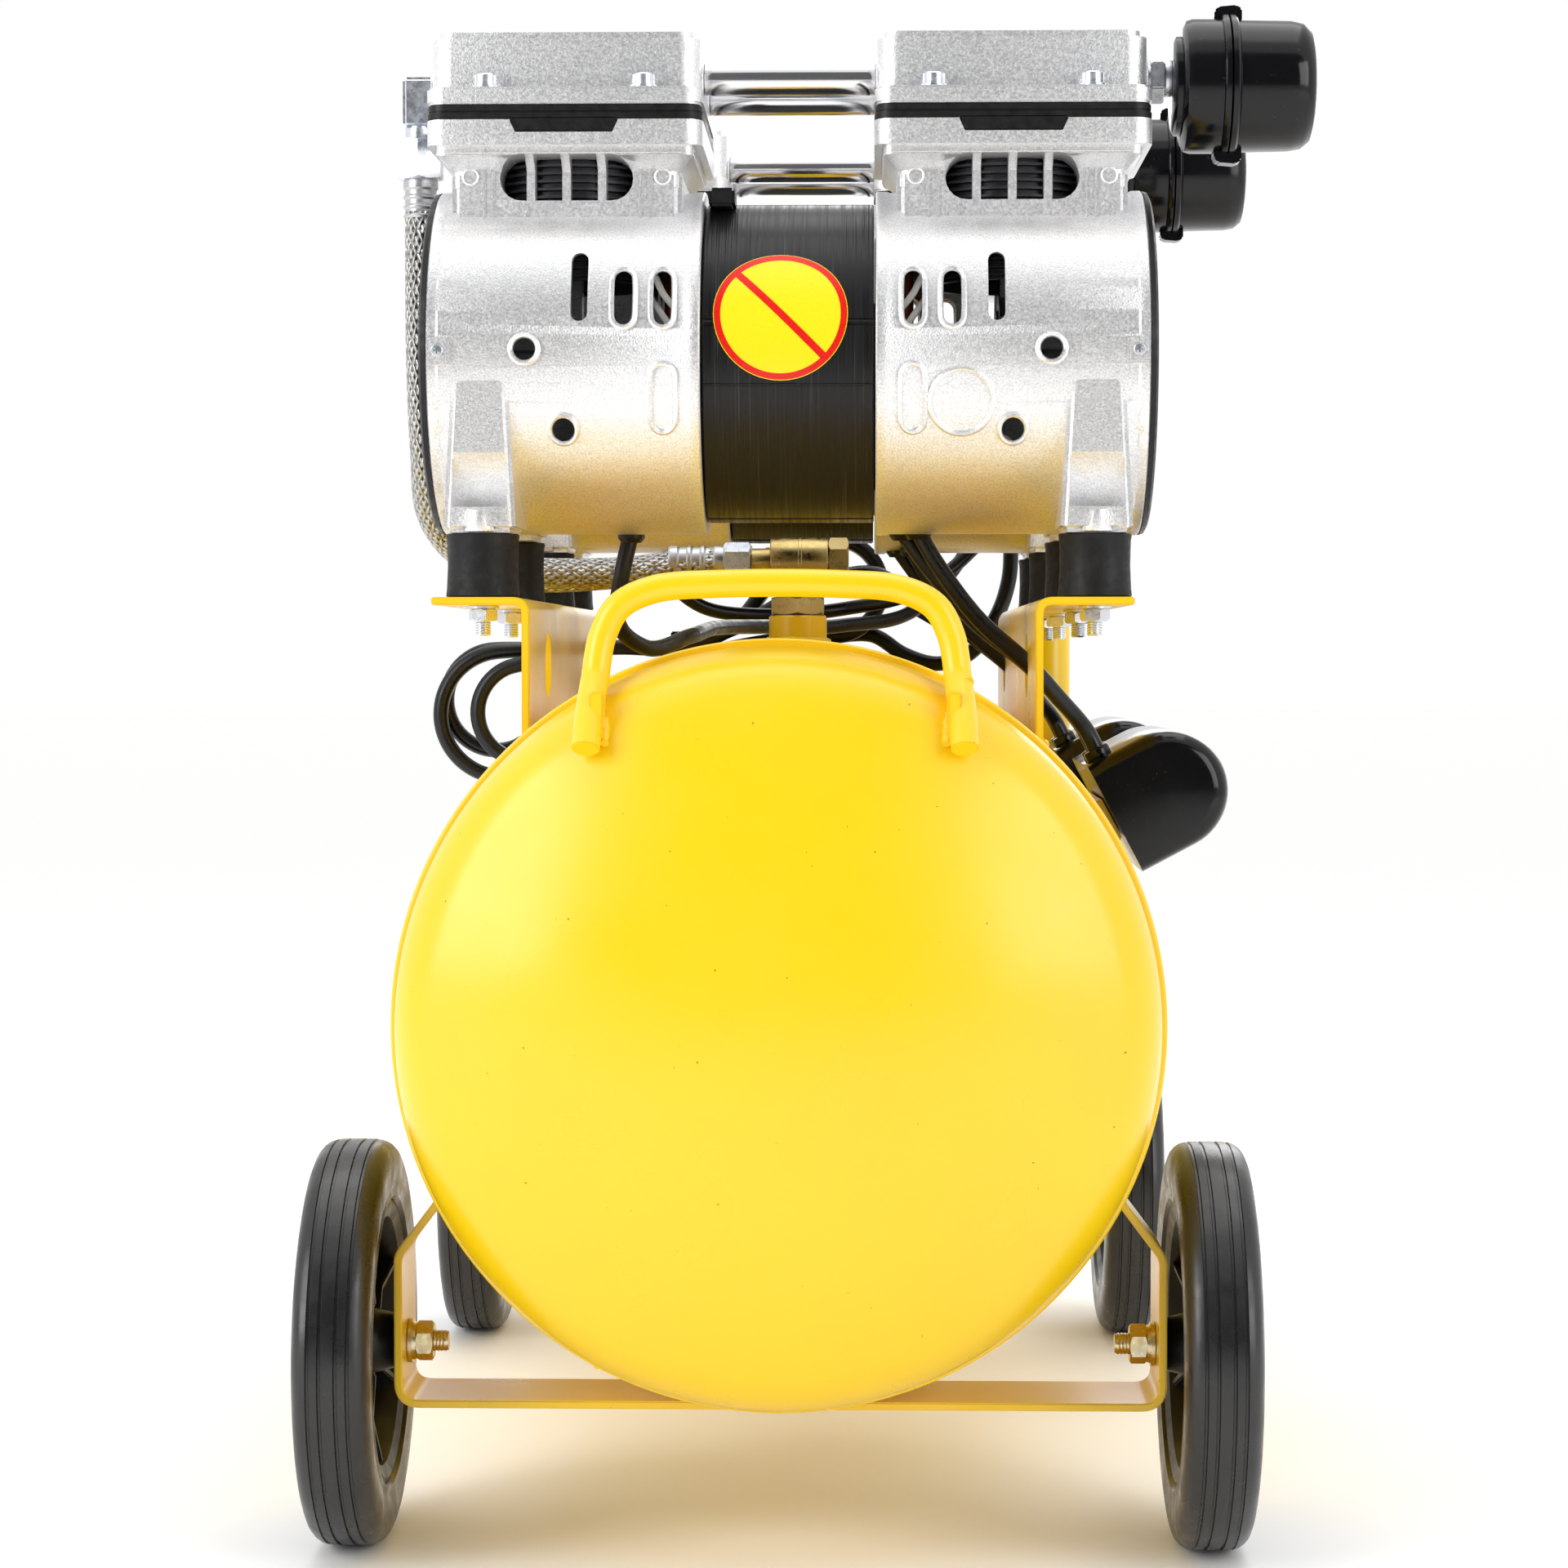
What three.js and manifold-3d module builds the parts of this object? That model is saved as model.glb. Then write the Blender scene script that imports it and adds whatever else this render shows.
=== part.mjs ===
// A twin-pump oil-free air compressor on a wheeled horizontal tank.
// Millimetres, +Z up, the tank's axis along Y, the handle at -Y, the controls at +Y.
// The origin is on the floor, midway between the outermost pieces on each side.

import * as THREE from "three";
import { mergeVertices } from "three/addons/utils/BufferGeometryUtils.js";
import Module from "manifold-3d";

const wasm = await Module();
wasm.setup();

// ---------------------------------------------------------------- driving dimensions
const GAP = 0.3; // left between pieces that touch
const ORIGIN_X = 15; // the tank's axis lies this far left of the origin

const TANK = { radius: 140, z: 197, halfShell: 256, crown: 280, knuckle: 28, wall: 3 };
const WHEEL = { radius: 75, width: 28, x: 158.5, y: 210, sides: 20, bore: 4.5 };
const AXLE_FRAME = { halfWidth: 140.5, bar: 3, depth: 40, bendZ: 110, bendRadius: 8 };
const RAIL = { x: 96.5, edge: 132, top: 352.7, sheet: 3, halfLength: 192.5, holeRadius: 13, holeY: 115 };
const FOOT = { x: 116, y: 52.5, radius: 14, stud: 3, nut: 5.7 };
const PUMP = { x: 2, y: 125, shaftZ: 445 };
const CASING = { radius: 67, wall: 4, inner: 33, outer: 136 };
const HEAD = { x: 85, half: 52.5, bore: 30, neckHalf: 44, neckDepth: 40 };
const HEAD_Z = { taper: 63, tray: 75.4, plate: 88.4, flange: 94.3, cover: 100.8, top: 123.2 };
const PORT = { y: 24.5, z: 107.2 };
const CRANK = { throw: 7, radius: 14, eye: 14.9, pistonRadius: 22, rodLength: 78 };
const HOSE_RADIUS = 6.5;
const RISER = { x: 122, y: 244, radius: 10.5, top: 400 };
const CAPACITOR = { angle: 28, base: 147, radius: 24, length: 115 };
const CORD_RADIUS = 3.75;
const HANK = { nearY: 208, farY: 233 };

const LONG_PIECE = 400; // longer than anything that a cutter has to pass through
const ROUND_SIDES = 28; // flats round the tank and the casings

// ---------------------------------------------------------------- materials
const finish = (color, roughness, metalness) =>
  new THREE.MeshStandardMaterial({ color, roughness, metalness });
const YELLOW_PAINT = finish(0xf7d417, 0.35, 0.0);
const CAST_ALUMINIUM = finish(0xc4c6c8, 0.5, 0.8);
const CHROME = finish(0xd8d8da, 0.1, 1.0);
const STEEL = finish(0xb0b2b5, 0.35, 1.0);
const LAMINATION = finish(0x17171a, 0.4, 0.3);
const BLACK_PLASTIC = finish(0x101012, 0.3, 0.0);
const BLACK_RUBBER = finish(0x161617, 0.6, 0.0);
const BRASS = finish(0xb9924a, 0.3, 1.0);
const RED_PLASTIC = finish(0xb3201c, 0.4, 0.0);

// ---------------------------------------------------------------- solids
function solid(geometry) {
  geometry.deleteAttribute("normal");
  geometry.deleteAttribute("uv");
  const merged = mergeVertices(geometry, 1e-4);
  const mesh = new wasm.Mesh({
    numProp: 3,
    vertProperties: merged.attributes.position.array,
    triVerts: new Uint32Array(merged.index.array),
  });
  return new wasm.Manifold(mesh);
}

function geometryOf(body) {
  const mesh = body.getMesh();
  const geometry = new THREE.BufferGeometry();
  geometry.setAttribute("position", new THREE.BufferAttribute(mesh.vertProperties, 3));
  geometry.setIndex(new THREE.BufferAttribute(mesh.triVerts, 1));
  geometry.computeVertexNormals();
  return geometry;
}

const join = (...bodies) => bodies.reduce((all, body) => all.add(body));

function block([x0, y0, z0], [x1, y1, z1]) {
  const geometry = new THREE.BoxGeometry(x1 - x0, y1 - y0, z1 - z0);
  return solid(geometry.translate((x0 + x1) / 2, (y0 + y1) / 2, (z0 + z1) / 2));
}

// A round or many-sided bar from one point to another.
function rod(radius, from, to, sides = 16, endRadius = radius) {
  const start = new THREE.Vector3(...from);
  const end = new THREE.Vector3(...to);
  const along = end.clone().sub(start);
  const geometry = new THREE.CylinderGeometry(endRadius, radius, along.length(), sides);
  const turn = new THREE.Quaternion().setFromUnitVectors(
    new THREE.Vector3(0, 1, 0),
    along.clone().normalize(),
  );
  geometry.applyQuaternion(turn).translate(...start.add(end).multiplyScalar(0.5).toArray());
  return solid(geometry);
}

// An outline in X and Z, extruded along Y.
function prismAlongY(shape, fromY, toY, curveSegments = 5) {
  const geometry = new THREE.ExtrudeGeometry(shape, {
    depth: toY - fromY,
    bevelEnabled: false,
    curveSegments,
  });
  return solid(geometry.rotateX(Math.PI / 2).translate(0, toY, 0));
}

// An outline in X and Y, extruded along Z.
function prismAlongZ(shape, fromZ, toZ, curveSegments = 1) {
  const geometry = new THREE.ExtrudeGeometry(shape, {
    depth: toZ - fromZ,
    bevelEnabled: false,
    curveSegments,
  });
  return solid(geometry.translate(0, 0, fromZ));
}

// A profile of [radius, distance along the axis] points, turned about the Y axis.
function turned(profile, sides, start = 0) {
  const points = profile.map(([r, along]) => new THREE.Vector2(r, along));
  return new THREE.LatheGeometry(points, sides, start, 2 * Math.PI);
}
const turnedAlongX = (profile, sides, start = 0) =>
  solid(turned(profile, sides, start).rotateZ(-Math.PI / 2));

function polygon(points) {
  return new THREE.Shape(points.map(([x, y]) => new THREE.Vector2(x, y)));
}

function roundedRectangle(halfX, halfY, corner) {
  const shape = new THREE.Shape();
  shape.absarc(halfX - corner, halfY - corner, corner, 0, Math.PI / 2);
  shape.absarc(corner - halfX, halfY - corner, corner, Math.PI / 2, Math.PI);
  shape.absarc(corner - halfX, corner - halfY, corner, Math.PI, 1.5 * Math.PI);
  shape.absarc(halfX - corner, corner - halfY, corner, 1.5 * Math.PI, 2 * Math.PI);
  return shape;
}

// A strip of sheet metal seen edge on: a line of points with its corners bent round a radius.
function bentStrip(corners, thickness, bendRadius, steps = 3) {
  const points = corners.map(([x, z]) => new THREE.Vector2(x, z));
  const line = [points[0]];
  for (let i = 1; i < points.length - 1; i++) {
    const back = points[i - 1].clone().sub(points[i]).normalize();
    const on = points[i + 1].clone().sub(points[i]).normalize();
    const half = Math.acos(back.dot(on)) / 2;
    const reach = bendRadius / Math.tan(half);
    const curve = new THREE.QuadraticBezierCurve(
      points[i].clone().addScaledVector(back, reach),
      points[i],
      points[i].clone().addScaledVector(on, reach),
    );
    line.push(...curve.getPoints(steps));
  }
  line.push(points[points.length - 1]);
  const side = (sign) =>
    line.map((point, i) => {
      const before = line[Math.max(i - 1, 0)];
      const after = line[Math.min(i + 1, line.length - 1)];
      const along = after.clone().sub(before).normalize();
      return [point.x - sign * along.y * (thickness / 2), point.y + sign * along.x * (thickness / 2)];
    });
  return polygon([...side(-1), ...side(1).reverse()]);
}

// A round tube, hose or cord along a smooth curve through its points.
function tubeThrough(points, radius, sides, steps) {
  const curve = new THREE.CatmullRomCurve3(
    points.map((point) => new THREE.Vector3(...point)),
    false,
    "centripetal",
  );
  const section = new THREE.Shape();
  section.absarc(0, 0, radius, 0, 2 * Math.PI);
  const geometry = new THREE.ExtrudeGeometry(section, {
    steps,
    curveSegments: sides / 2,
    extrudePath: curve,
    bevelEnabled: false,
  });
  return solid(geometry);
}

// ---------------------------------------------------------------- assembly
const compressor = new THREE.Group();
compressor.position.x = -ORIGIN_X;

function place(name, body, material, group = compressor) {
  const mesh = new THREE.Mesh(geometryOf(body), material);
  mesh.name = name;
  group.add(mesh);
}

const mirrorX = (body) => body.scale([-1, 1, 1]);

// ---------------------------------------------------------------- tank
// Half of the tank's dished outline, from the pole to the shell, shrunk by an inset.
function dishedEnd(inset, crownSteps, knuckleSteps) {
  const knuckleCentre = TANK.radius - TANK.knuckle;
  const span = TANK.crown - TANK.knuckle;
  const crownCentre = Math.sqrt(span ** 2 - knuckleCentre ** 2) - TANK.halfShell;
  const joint = Math.asin(knuckleCentre / span);
  const points = [];
  for (let i = 0; i <= crownSteps; i++) {
    const angle = (joint * i) / crownSteps;
    const radius = TANK.crown - inset;
    points.push([radius * Math.sin(angle), crownCentre - radius * Math.cos(angle)]);
  }
  for (let i = 1; i <= knuckleSteps; i++) {
    const angle = joint + ((Math.PI / 2 - joint) * i) / knuckleSteps;
    const radius = TANK.knuckle - inset;
    points.push([knuckleCentre + radius * Math.sin(angle), -TANK.halfShell - radius * Math.cos(angle)]);
  }
  return points;
}

function tankEnvelope(inset, crownSteps, knuckleSteps) {
  const front = dishedEnd(inset, crownSteps, knuckleSteps);
  const rear = front.map(([r, y]) => [r, -y]).reverse();
  return solid(turned([...front, ...rear], ROUND_SIDES).translate(0, 0, TANK.z));
}

const tankCutter = rod(
  TANK.radius + GAP,
  [0, -LONG_PIECE, TANK.z],
  [0, LONG_PIECE, TANK.z],
  ROUND_SIDES,
);

function capacitorTab(fromY) {
  const tab = block([TANK.radius - 2, fromY + 15, -9], [CAPACITOR.base - GAP, fromY + CAPACITOR.length - 15, 9]);
  return tab.rotate([0, -CAPACITOR.angle, 0]).translate([0, 0, TANK.z]);
}

const CAPACITOR_Y = [-125, 115];
const DRAIN = { y: 60, radius: 7, bottom: 40 };
const BOSS = { x: PUMP.x, radius: 12.4, top: 348 };

function makeTank() {
  const base = TANK.z - TANK.radius;
  const outside = join(
    tankEnvelope(0, 4, 3),
    rod(BOSS.radius, [BOSS.x, 0, 325], [BOSS.x, 0, BOSS.top]),
    rod(RISER.radius, [RISER.x, RISER.y, 240], [RISER.x, RISER.y, RISER.top]),
    rod(9, [0, DRAIN.y, base + 6], [0, DRAIN.y, base - 6]),
    rod(DRAIN.radius, [0, DRAIN.y, base], [0, DRAIN.y, DRAIN.bottom], 6),
    ...CAPACITOR_Y.map(capacitorTab),
  );
  const hollow = join(
    tankEnvelope(TANK.wall, 2, 1),
    rod(6, [BOSS.x, 0, 320], [BOSS.x, 0, BOSS.top + 1]),
    rod(7, [RISER.x, RISER.y, 240], [RISER.x, RISER.y, RISER.top + 1]),
    rod(3, [0, DRAIN.y, base + 6], [0, DRAIN.y, DRAIN.bottom - 1], 8),
  );
  return outside.subtract(hollow);
}

function makeDrainKnob() {
  const top = DRAIN.bottom - GAP;
  return join(
    rod(6, [0, DRAIN.y, top - 8], [0, DRAIN.y, top], 12),
    block([-12, DRAIN.y - 2, top - 13], [12, DRAIN.y + 2, top - 5]),
  );
}

place("tank", makeTank(), YELLOW_PAINT);
place("drain_knob", makeDrainKnob(), BRASS);

// ---------------------------------------------------------------- wheels and their frames
const AXLE = { radius: 4, innerEnd: 124, outerEnd: 171, headRadius: 7.5 };

function makeAxleFrame(y) {
  const base = TANK.z - TANK.radius - GAP - AXLE_FRAME.bar / 2;
  const half = AXLE_FRAME.halfWidth;
  const right = [
    [half, base],
    [half, AXLE_FRAME.bendZ],
    [112, 148],
  ];
  const left = right.map(([x, z]) => [-x, z]).reverse();
  const hoop = prismAlongY(
    bentStrip([...left, ...right], AXLE_FRAME.bar, AXLE_FRAME.bendRadius),
    y - AXLE_FRAME.depth / 2,
    y + AXLE_FRAME.depth / 2,
  ).subtract(tankCutter);
  const bolts = [-1, 1].map((side) =>
    join(
      rod(AXLE.radius, [side * AXLE.innerEnd, y, WHEEL.radius], [side * AXLE.outerEnd, y, WHEEL.radius], 8),
      rod(AXLE.headRadius, [side * 127, y, WHEEL.radius], [side * 139.5, y, WHEEL.radius], 6),
      rod(AXLE.headRadius, [side * 167, y, WHEEL.radius], [side * AXLE.outerEnd, y, WHEEL.radius], 6),
    ),
  );
  return join(hoop, ...bolts);
}

// The tyre, the web and the hub as one body of revolution, with a flat of the tyre on the floor.
function makeWheel(side, y) {
  const corner = WHEEL.radius / Math.cos(Math.PI / WHEEL.sides);
  const half = WHEEL.width / 2;
  const profile = [
    [WHEEL.bore, -15.8],
    [15, -15.8],
    [15, -4],
    [49, -4],
    [51, -half],
    [corner - 5, -half],
    [corner, -8],
    [corner, 8],
    [corner - 5, half],
    [51, half],
    [49, 8.2],
    [WHEEL.bore, 8.2],
  ];
  profile.push(profile[0]);
  const wheel = turnedAlongX(profile, WHEEL.sides, Math.PI / WHEEL.sides);
  const facing = side > 0 ? wheel : mirrorX(wheel);
  return facing.translate([side * WHEEL.x, y, WHEEL.radius]);
}

for (const [end, y] of [
  ["front", -WHEEL.y],
  ["rear", WHEEL.y],
]) {
  place(`${end}_axle_frame`, makeAxleFrame(y), YELLOW_PAINT);
  place(`${end}_left_wheel`, makeWheel(-1, y), BLACK_RUBBER);
  place(`${end}_right_wheel`, makeWheel(1, y), BLACK_RUBBER);
}

// ---------------------------------------------------------------- motor rails and handle
const footPlaces = [-1, 1].flatMap((pump) =>
  [-1, 1].map((row) => pump * PUMP.y + row * FOOT.y),
);

function makeRail(side) {
  const half = RAIL.sheet / 2;
  const outline = bentStrip(
    [
      [RAIL.x, 285],
      [RAIL.x, RAIL.top - half],
      [RAIL.edge, RAIL.top - half],
    ],
    RAIL.sheet,
    5,
  );
  const angle = prismAlongY(outline, -RAIL.halfLength, RAIL.halfLength);
  const windows = [-1, 1].map((end) =>
    rod(RAIL.holeRadius, [80, end * RAIL.holeY, 327], [110, end * RAIL.holeY, 327], 20),
  );
  const footX = FOOT.x + side * PUMP.x;
  const bolts = footPlaces.map((y) => rod(FOOT.stud + 0.5, [footX, y, 340], [footX, y, 360], 8));
  const rail = angle.subtract(join(tankCutter, ...windows, ...bolts));
  return side > 0 ? rail : mirrorX(rail);
}

const HANDLE_ROUTE = [
  [66, -290.5, 298],
  [65.5, -285, 307],
  [64.5, -277, 317],
  [63.5, -271, 327],
  [61.5, -269, 338],
  [56, -268, 348],
  [44, -267, 354],
  [22, -267, 356],
];
const HANDLE_RADIUS = 5;

function makeHandle() {
  const left = HANDLE_ROUTE.map(([x, y, z]) => [-x, y, z]);
  const bar = tubeThrough([...left, ...[...HANDLE_ROUTE].reverse()], HANDLE_RADIUS, 8, 34);
  const tabs = [-1, 1].map((side) =>
    block([side * 62 - 3, -288, 299], [side * 62 + 3, -262, 319]),
  );
  return join(bar, ...tabs).subtract(tankEnvelope(-GAP, 4, 3));
}

place("left_motor_rail", makeRail(-1), YELLOW_PAINT);
place("right_motor_rail", makeRail(1), YELLOW_PAINT);
place("handle", makeHandle(), YELLOW_PAINT);

// ---------------------------------------------------------------- one pump
// Each pump is drawn about its own shaft: x along the shaft, z up, and each half mirrored.

function makeStator() {
  const end = CASING.inner - GAP;
  const bore = rod(32.4, [-end - 1, 0, 0], [end + 1, 0, 0], 16);
  return rod(62, [-end, 0, 0], [end, 0, 0], ROUND_SIDES).subtract(bore);
}

function makeRotor() {
  const crank = (side) =>
    rod(CRANK.radius, [side * 80, 0, side * CRANK.throw], [side * 90, 0, side * CRANK.throw], 12);
  return join(
    rod(6, [-118, 0, 0], [118, 0, 0], 8),
    rod(31, [-31, 0, 0], [31, 0, 0], 16),
    crank(-1),
    crank(1),
  );
}

function makePiston(side) {
  const centre = side * CRANK.throw;
  const x = side * HEAD.x;
  const top = centre + CRANK.rodLength;
  const bigEnd = rod(20, [x - 4, 0, centre], [x + 4, 0, centre], 12);
  const shank = block([x - 3, -5, centre + 17], [x + 3, 5, top - 3]);
  const disc = rod(CRANK.pistonRadius, [x, 0, top - 6], [x, 0, top], 16);
  const eye = rod(CRANK.eye, [x - 5, 0, centre], [x + 5, 0, centre], 12);
  return join(bigEnd, shank, disc).subtract(eye);
}

function makeFootLug(row) {
  const y = row * FOOT.y;
  const outerY = row * 66.5;
  const [nearY, farY] = [Math.min(row * 20, outerY), Math.max(row * 20, outerY)];
  const leg = block([102.5, nearY, -68], [129.5, farY, -8]);
  const [pocketNear, pocketFar] = [Math.min(row * 44, row * 70), Math.max(row * 44, row * 70)];
  const pocket = block([106, pocketNear, -57], [126, pocketFar, -5]);
  const hole = rod(FOOT.stud + 0.5, [FOOT.x, y, -70], [FOOT.x, y, -50], 8);
  return leg.subtract(join(pocket, hole));
}

// The right casing: a bell round the crank, a bearing wall, a neck that holds the cylinder, and lugs.
function makeCasing() {
  const { radius, wall, inner, outer } = CASING;
  const taper = new THREE.CylinderGeometry(
    HEAD.half * Math.SQRT2,
    HEAD.neckHalf * Math.SQRT2,
    HEAD_Z.tray - HEAD_Z.taper,
    4,
    1,
  );
  taper.rotateY(Math.PI / 4).rotateX(Math.PI / 2);
  taper.translate(HEAD.x, 0, (HEAD_Z.tray + HEAD_Z.taper) / 2);
  const tray = prismAlongZ(roundedRectangle(HEAD.half, HEAD.half, 6), HEAD_Z.tray, HEAD_Z.plate);
  const outside = join(
    rod(radius, [inner, 0, 0], [outer, 0, 0], ROUND_SIDES),
    block([HEAD.x - HEAD.neckHalf, -HEAD.neckDepth, 20], [HEAD.x + HEAD.neckHalf, HEAD.neckDepth, 70]),
    solid(taper),
    tray.translate([HEAD.x, 0, 0]),
    makeFootLug(-1),
    makeFootLug(1),
  );
  const bay = radius - wall;
  const hollow = join(
    rod(57, [inner - 1, 0, 0], [52, 0, 0], 24),
    rod(bay, [56, 0, 0], [outer + 1, 0, 0], ROUND_SIDES),
    rod(6.8, [50, 0, 0], [60, 0, 0], 12),
    rod(HEAD.bore, [HEAD.x, 0, 20], [HEAD.x, 0, HEAD_Z.plate + 1], 20),
  );
  return outside.subtract(hollow);
}

function makeEndCover() {
  const start = CASING.outer + GAP;
  return join(
    rod(CASING.radius, [start, 0, 0], [start + 2.7, 0, 0], ROUND_SIDES),
    rod(55, [start, 0, 0], [start + 3.7, 0, 0], 24),
  );
}

// The valve plate and the cylinder head that clamps it.
function makeHead() {
  const slab = (half, depth, corner, from, to) =>
    prismAlongZ(roundedRectangle(half, depth, corner), from, to);
  const head = join(
    slab(HEAD.half - 0.5, HEAD.half - 0.5, 5, HEAD_Z.plate + GAP, HEAD_Z.flange),
    slab(HEAD.half, HEAD.half, 6, HEAD_Z.flange, HEAD_Z.cover),
    slab(HEAD.half - 1.2, 42.5, 6, HEAD_Z.cover, HEAD_Z.top),
  );
  return head.translate([HEAD.x, 0, 0]);
}

const HEAD_SIDE = HEAD.half - 1.2; // half of the head cover's width

function makeTube(row) {
  const end = HEAD.x - HEAD_SIDE - GAP;
  return rod(6, [-end, row * PORT.y, PORT.z], [end, row * PORT.y, PORT.z], 16);
}

function makeFilter() {
  const start = HEAD.x + HEAD_SIDE + GAP;
  const length = 202.5 - PUMP.x - start;
  const profile = [
    [0, 0],
    [5.5, 0],
    [5.5, 9],
    [24, 9],
    [27.9, 13],
    [27.9, length - 4],
    [24, length],
    [0, length],
  ];
  return turnedAlongX(profile, 20).translate([start, -PORT.y, PORT.z]);
}

// A rubber mount: its stud passes down through the rail and up through the casing's lug.
function makeFoot(side, row) {
  const x = side * FOOT.x;
  const y = row * FOOT.y;
  const railTop = RAIL.top - PUMP.shaftZ;
  return join(
    rod(FOOT.radius, [x, y, railTop + GAP], [x, y, -68 - GAP], 14),
    rod(FOOT.stud, [x, y, railTop - 14], [x, y, -48], 6),
    rod(FOOT.nut, [x, y, railTop - 8.4], [x, y, railTop - RAIL.sheet - GAP], 6),
    rod(FOOT.nut, [x, y, -57 + GAP], [x, y, -51.5], 6),
  );
}

function placePump(name, y) {
  const pump = new THREE.Group();
  pump.position.set(PUMP.x, y, PUMP.shaftZ);
  compressor.add(pump);
  const put = (piece, body, material) => place(`${name}_${piece}`, body, material, pump);
  put("stator", makeStator(), LAMINATION);
  put("rotor", makeRotor(), STEEL);
  put("intake_tube", makeTube(-1), CHROME);
  put("exhaust_tube", makeTube(1), CHROME);
  put("air_filter", makeFilter(), BLACK_PLASTIC);
  for (const [side, hand] of [
    [-1, "left"],
    [1, "right"],
  ]) {
    const facing = side > 0 ? (body) => body : mirrorX;
    put(`${hand}_piston`, makePiston(side), CAST_ALUMINIUM);
    put(`${hand}_casing`, facing(makeCasing()), CAST_ALUMINIUM);
    put(`${hand}_end_cover`, facing(makeEndCover()), BLACK_PLASTIC);
    put(`${hand}_head`, facing(makeHead()), CAST_ALUMINIUM);
    put(`${hand}_fore_foot`, makeFoot(side, -1), BLACK_RUBBER);
    put(`${hand}_aft_foot`, makeFoot(side, 1), BLACK_RUBBER);
  }
}

placePump("front", -PUMP.y);
placePump("rear", PUMP.y);

// ---------------------------------------------------------------- check valve and delivery hoses
const VALVE = { z: 371, left: -18, second: 18 };

function makeCheckValve() {
  const x = BOSS.x;
  return join(
    rod(13, [x, 0, BOSS.top + GAP], [x, 0, 356], 6),
    rod(9, [x, 0, 355], [x, 0, VALVE.z], 10),
    rod(10.5, [-10, 0, VALVE.z], [24, 0, VALVE.z], 12),
    rod(8, [x, 0, VALVE.z], [x, VALVE.second + 7, VALVE.z], 10),
    rod(6, [VALVE.left, 0, VALVE.z], [0, 0, VALVE.z], 8),
    rod(6, [VALVE.left, VALVE.second, VALVE.z], [4, VALVE.second, VALVE.z], 8),
  );
}

const ELBOW_X = -147;
const PORT_TOP = PUMP.shaftZ + PORT.z;

const FRONT_HOSE_ROUTE = [
  [ELBOW_X, -PUMP.y + PORT.y, 519],
  [ELBOW_X, -PUMP.y + PORT.y, 490],
  [ELBOW_X, -99, 450],
  [ELBOW_X, -88, 414],
  [ELBOW_X, -68, 389],
  [-137, -44, 373],
  [-120, -24, 367],
  [-98, -10, 366],
  [-70, -2, 367],
  [-45, 0, 370],
  [-28, 0, VALVE.z],
];
const REAR_HOSE_ROUTE = [
  [ELBOW_X, PUMP.y + PORT.y, 519],
  [ELBOW_X, PUMP.y + PORT.y, 490],
  [ELBOW_X, 147, 450],
  [ELBOW_X, 136, 415],
  [ELBOW_X, 112, 388],
  [ELBOW_X, 84, 371],
  [-140, 56, 366],
  [-122, 36, 365],
  [-98, 24, 365],
  [-70, 19, 367],
  [-45, 18, 370],
  [-28, 18, VALVE.z],
];

function makeHose(route, inletY) {
  const [, y] = route[0];
  const headFace = PUMP.x - HEAD.x - HEAD_SIDE;
  return join(
    tubeThrough(route, HOSE_RADIUS, 8, 24),
    rod(5, [-142, y, PORT_TOP], [headFace - GAP, y, PORT_TOP], 12),
    block([ELBOW_X - 6.5, y - 7, PORT_TOP - 11], [ELBOW_X + 6.5, y + 7, PORT_TOP + 9]),
    rod(9.8, [ELBOW_X, y, 521], [ELBOW_X, y, 537], 6),
    rod(7, [ELBOW_X, y, 505], [ELBOW_X, y, 545], 10),
    rod(8.5, [-30, inletY, VALVE.z], [VALVE.left - GAP, inletY, VALVE.z], 6),
  );
}

place("check_valve", makeCheckValve(), BRASS);
place("front_hose", makeHose(FRONT_HOSE_ROUTE, 0), STEEL);
place("rear_hose", makeHose(REAR_HOSE_ROUTE, VALVE.second), STEEL);

// ---------------------------------------------------------------- capacitor boxes
function makeCapacitorBox(fromY) {
  const middle = CAPACITOR.base + CAPACITOR.radius;
  const outline = new THREE.Shape();
  outline.moveTo(CAPACITOR.base, -CAPACITOR.radius);
  outline.lineTo(middle, -CAPACITOR.radius);
  outline.absarc(middle, 0, CAPACITOR.radius, -Math.PI / 2, Math.PI / 2);
  outline.lineTo(CAPACITOR.base, CAPACITOR.radius);
  outline.closePath();
  const box = prismAlongY(outline, fromY, fromY + CAPACITOR.length, 6);
  return box.rotate([0, -CAPACITOR.angle, 0]).translate([0, 0, TANK.z]);
}

place("front_capacitor_box", makeCapacitorBox(CAPACITOR_Y[0]), BLACK_PLASTIC);
place("rear_capacitor_box", makeCapacitorBox(CAPACITOR_Y[1]), BLACK_PLASTIC);

// ---------------------------------------------------------------- controls on the riser
const BLOCK = { left: 62, right: 134, near: 232, far: 258, bottom: RISER.top + GAP, top: 426, z: 413 };
const COUPLER_X = 76;
const REGULATOR_X = 106;
const GAUGE = { x: 66, z: 456, radius: 20, face: 262 };
const SWITCH = { left: 92, right: 134, near: 206, far: 262, top: 482 };
const GLAND = { x: 102, y: 216, bottom: 402 };
const VENT_Y = 245;

function makeManifold() {
  return join(
    block([BLOCK.left, BLOCK.near, BLOCK.bottom], [BLOCK.right, BLOCK.far, BLOCK.top]),
    rod(7, [COUPLER_X, BLOCK.far - 1, BLOCK.z], [COUPLER_X, 288, BLOCK.z], 12),
    rod(7, [REGULATOR_X, BLOCK.far - 1, BLOCK.z], [REGULATOR_X, 264, BLOCK.z], 12),
    rod(6.5, [48, VENT_Y, BLOCK.z], [BLOCK.left + 1, VENT_Y, BLOCK.z], 6),
  );
}

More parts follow.
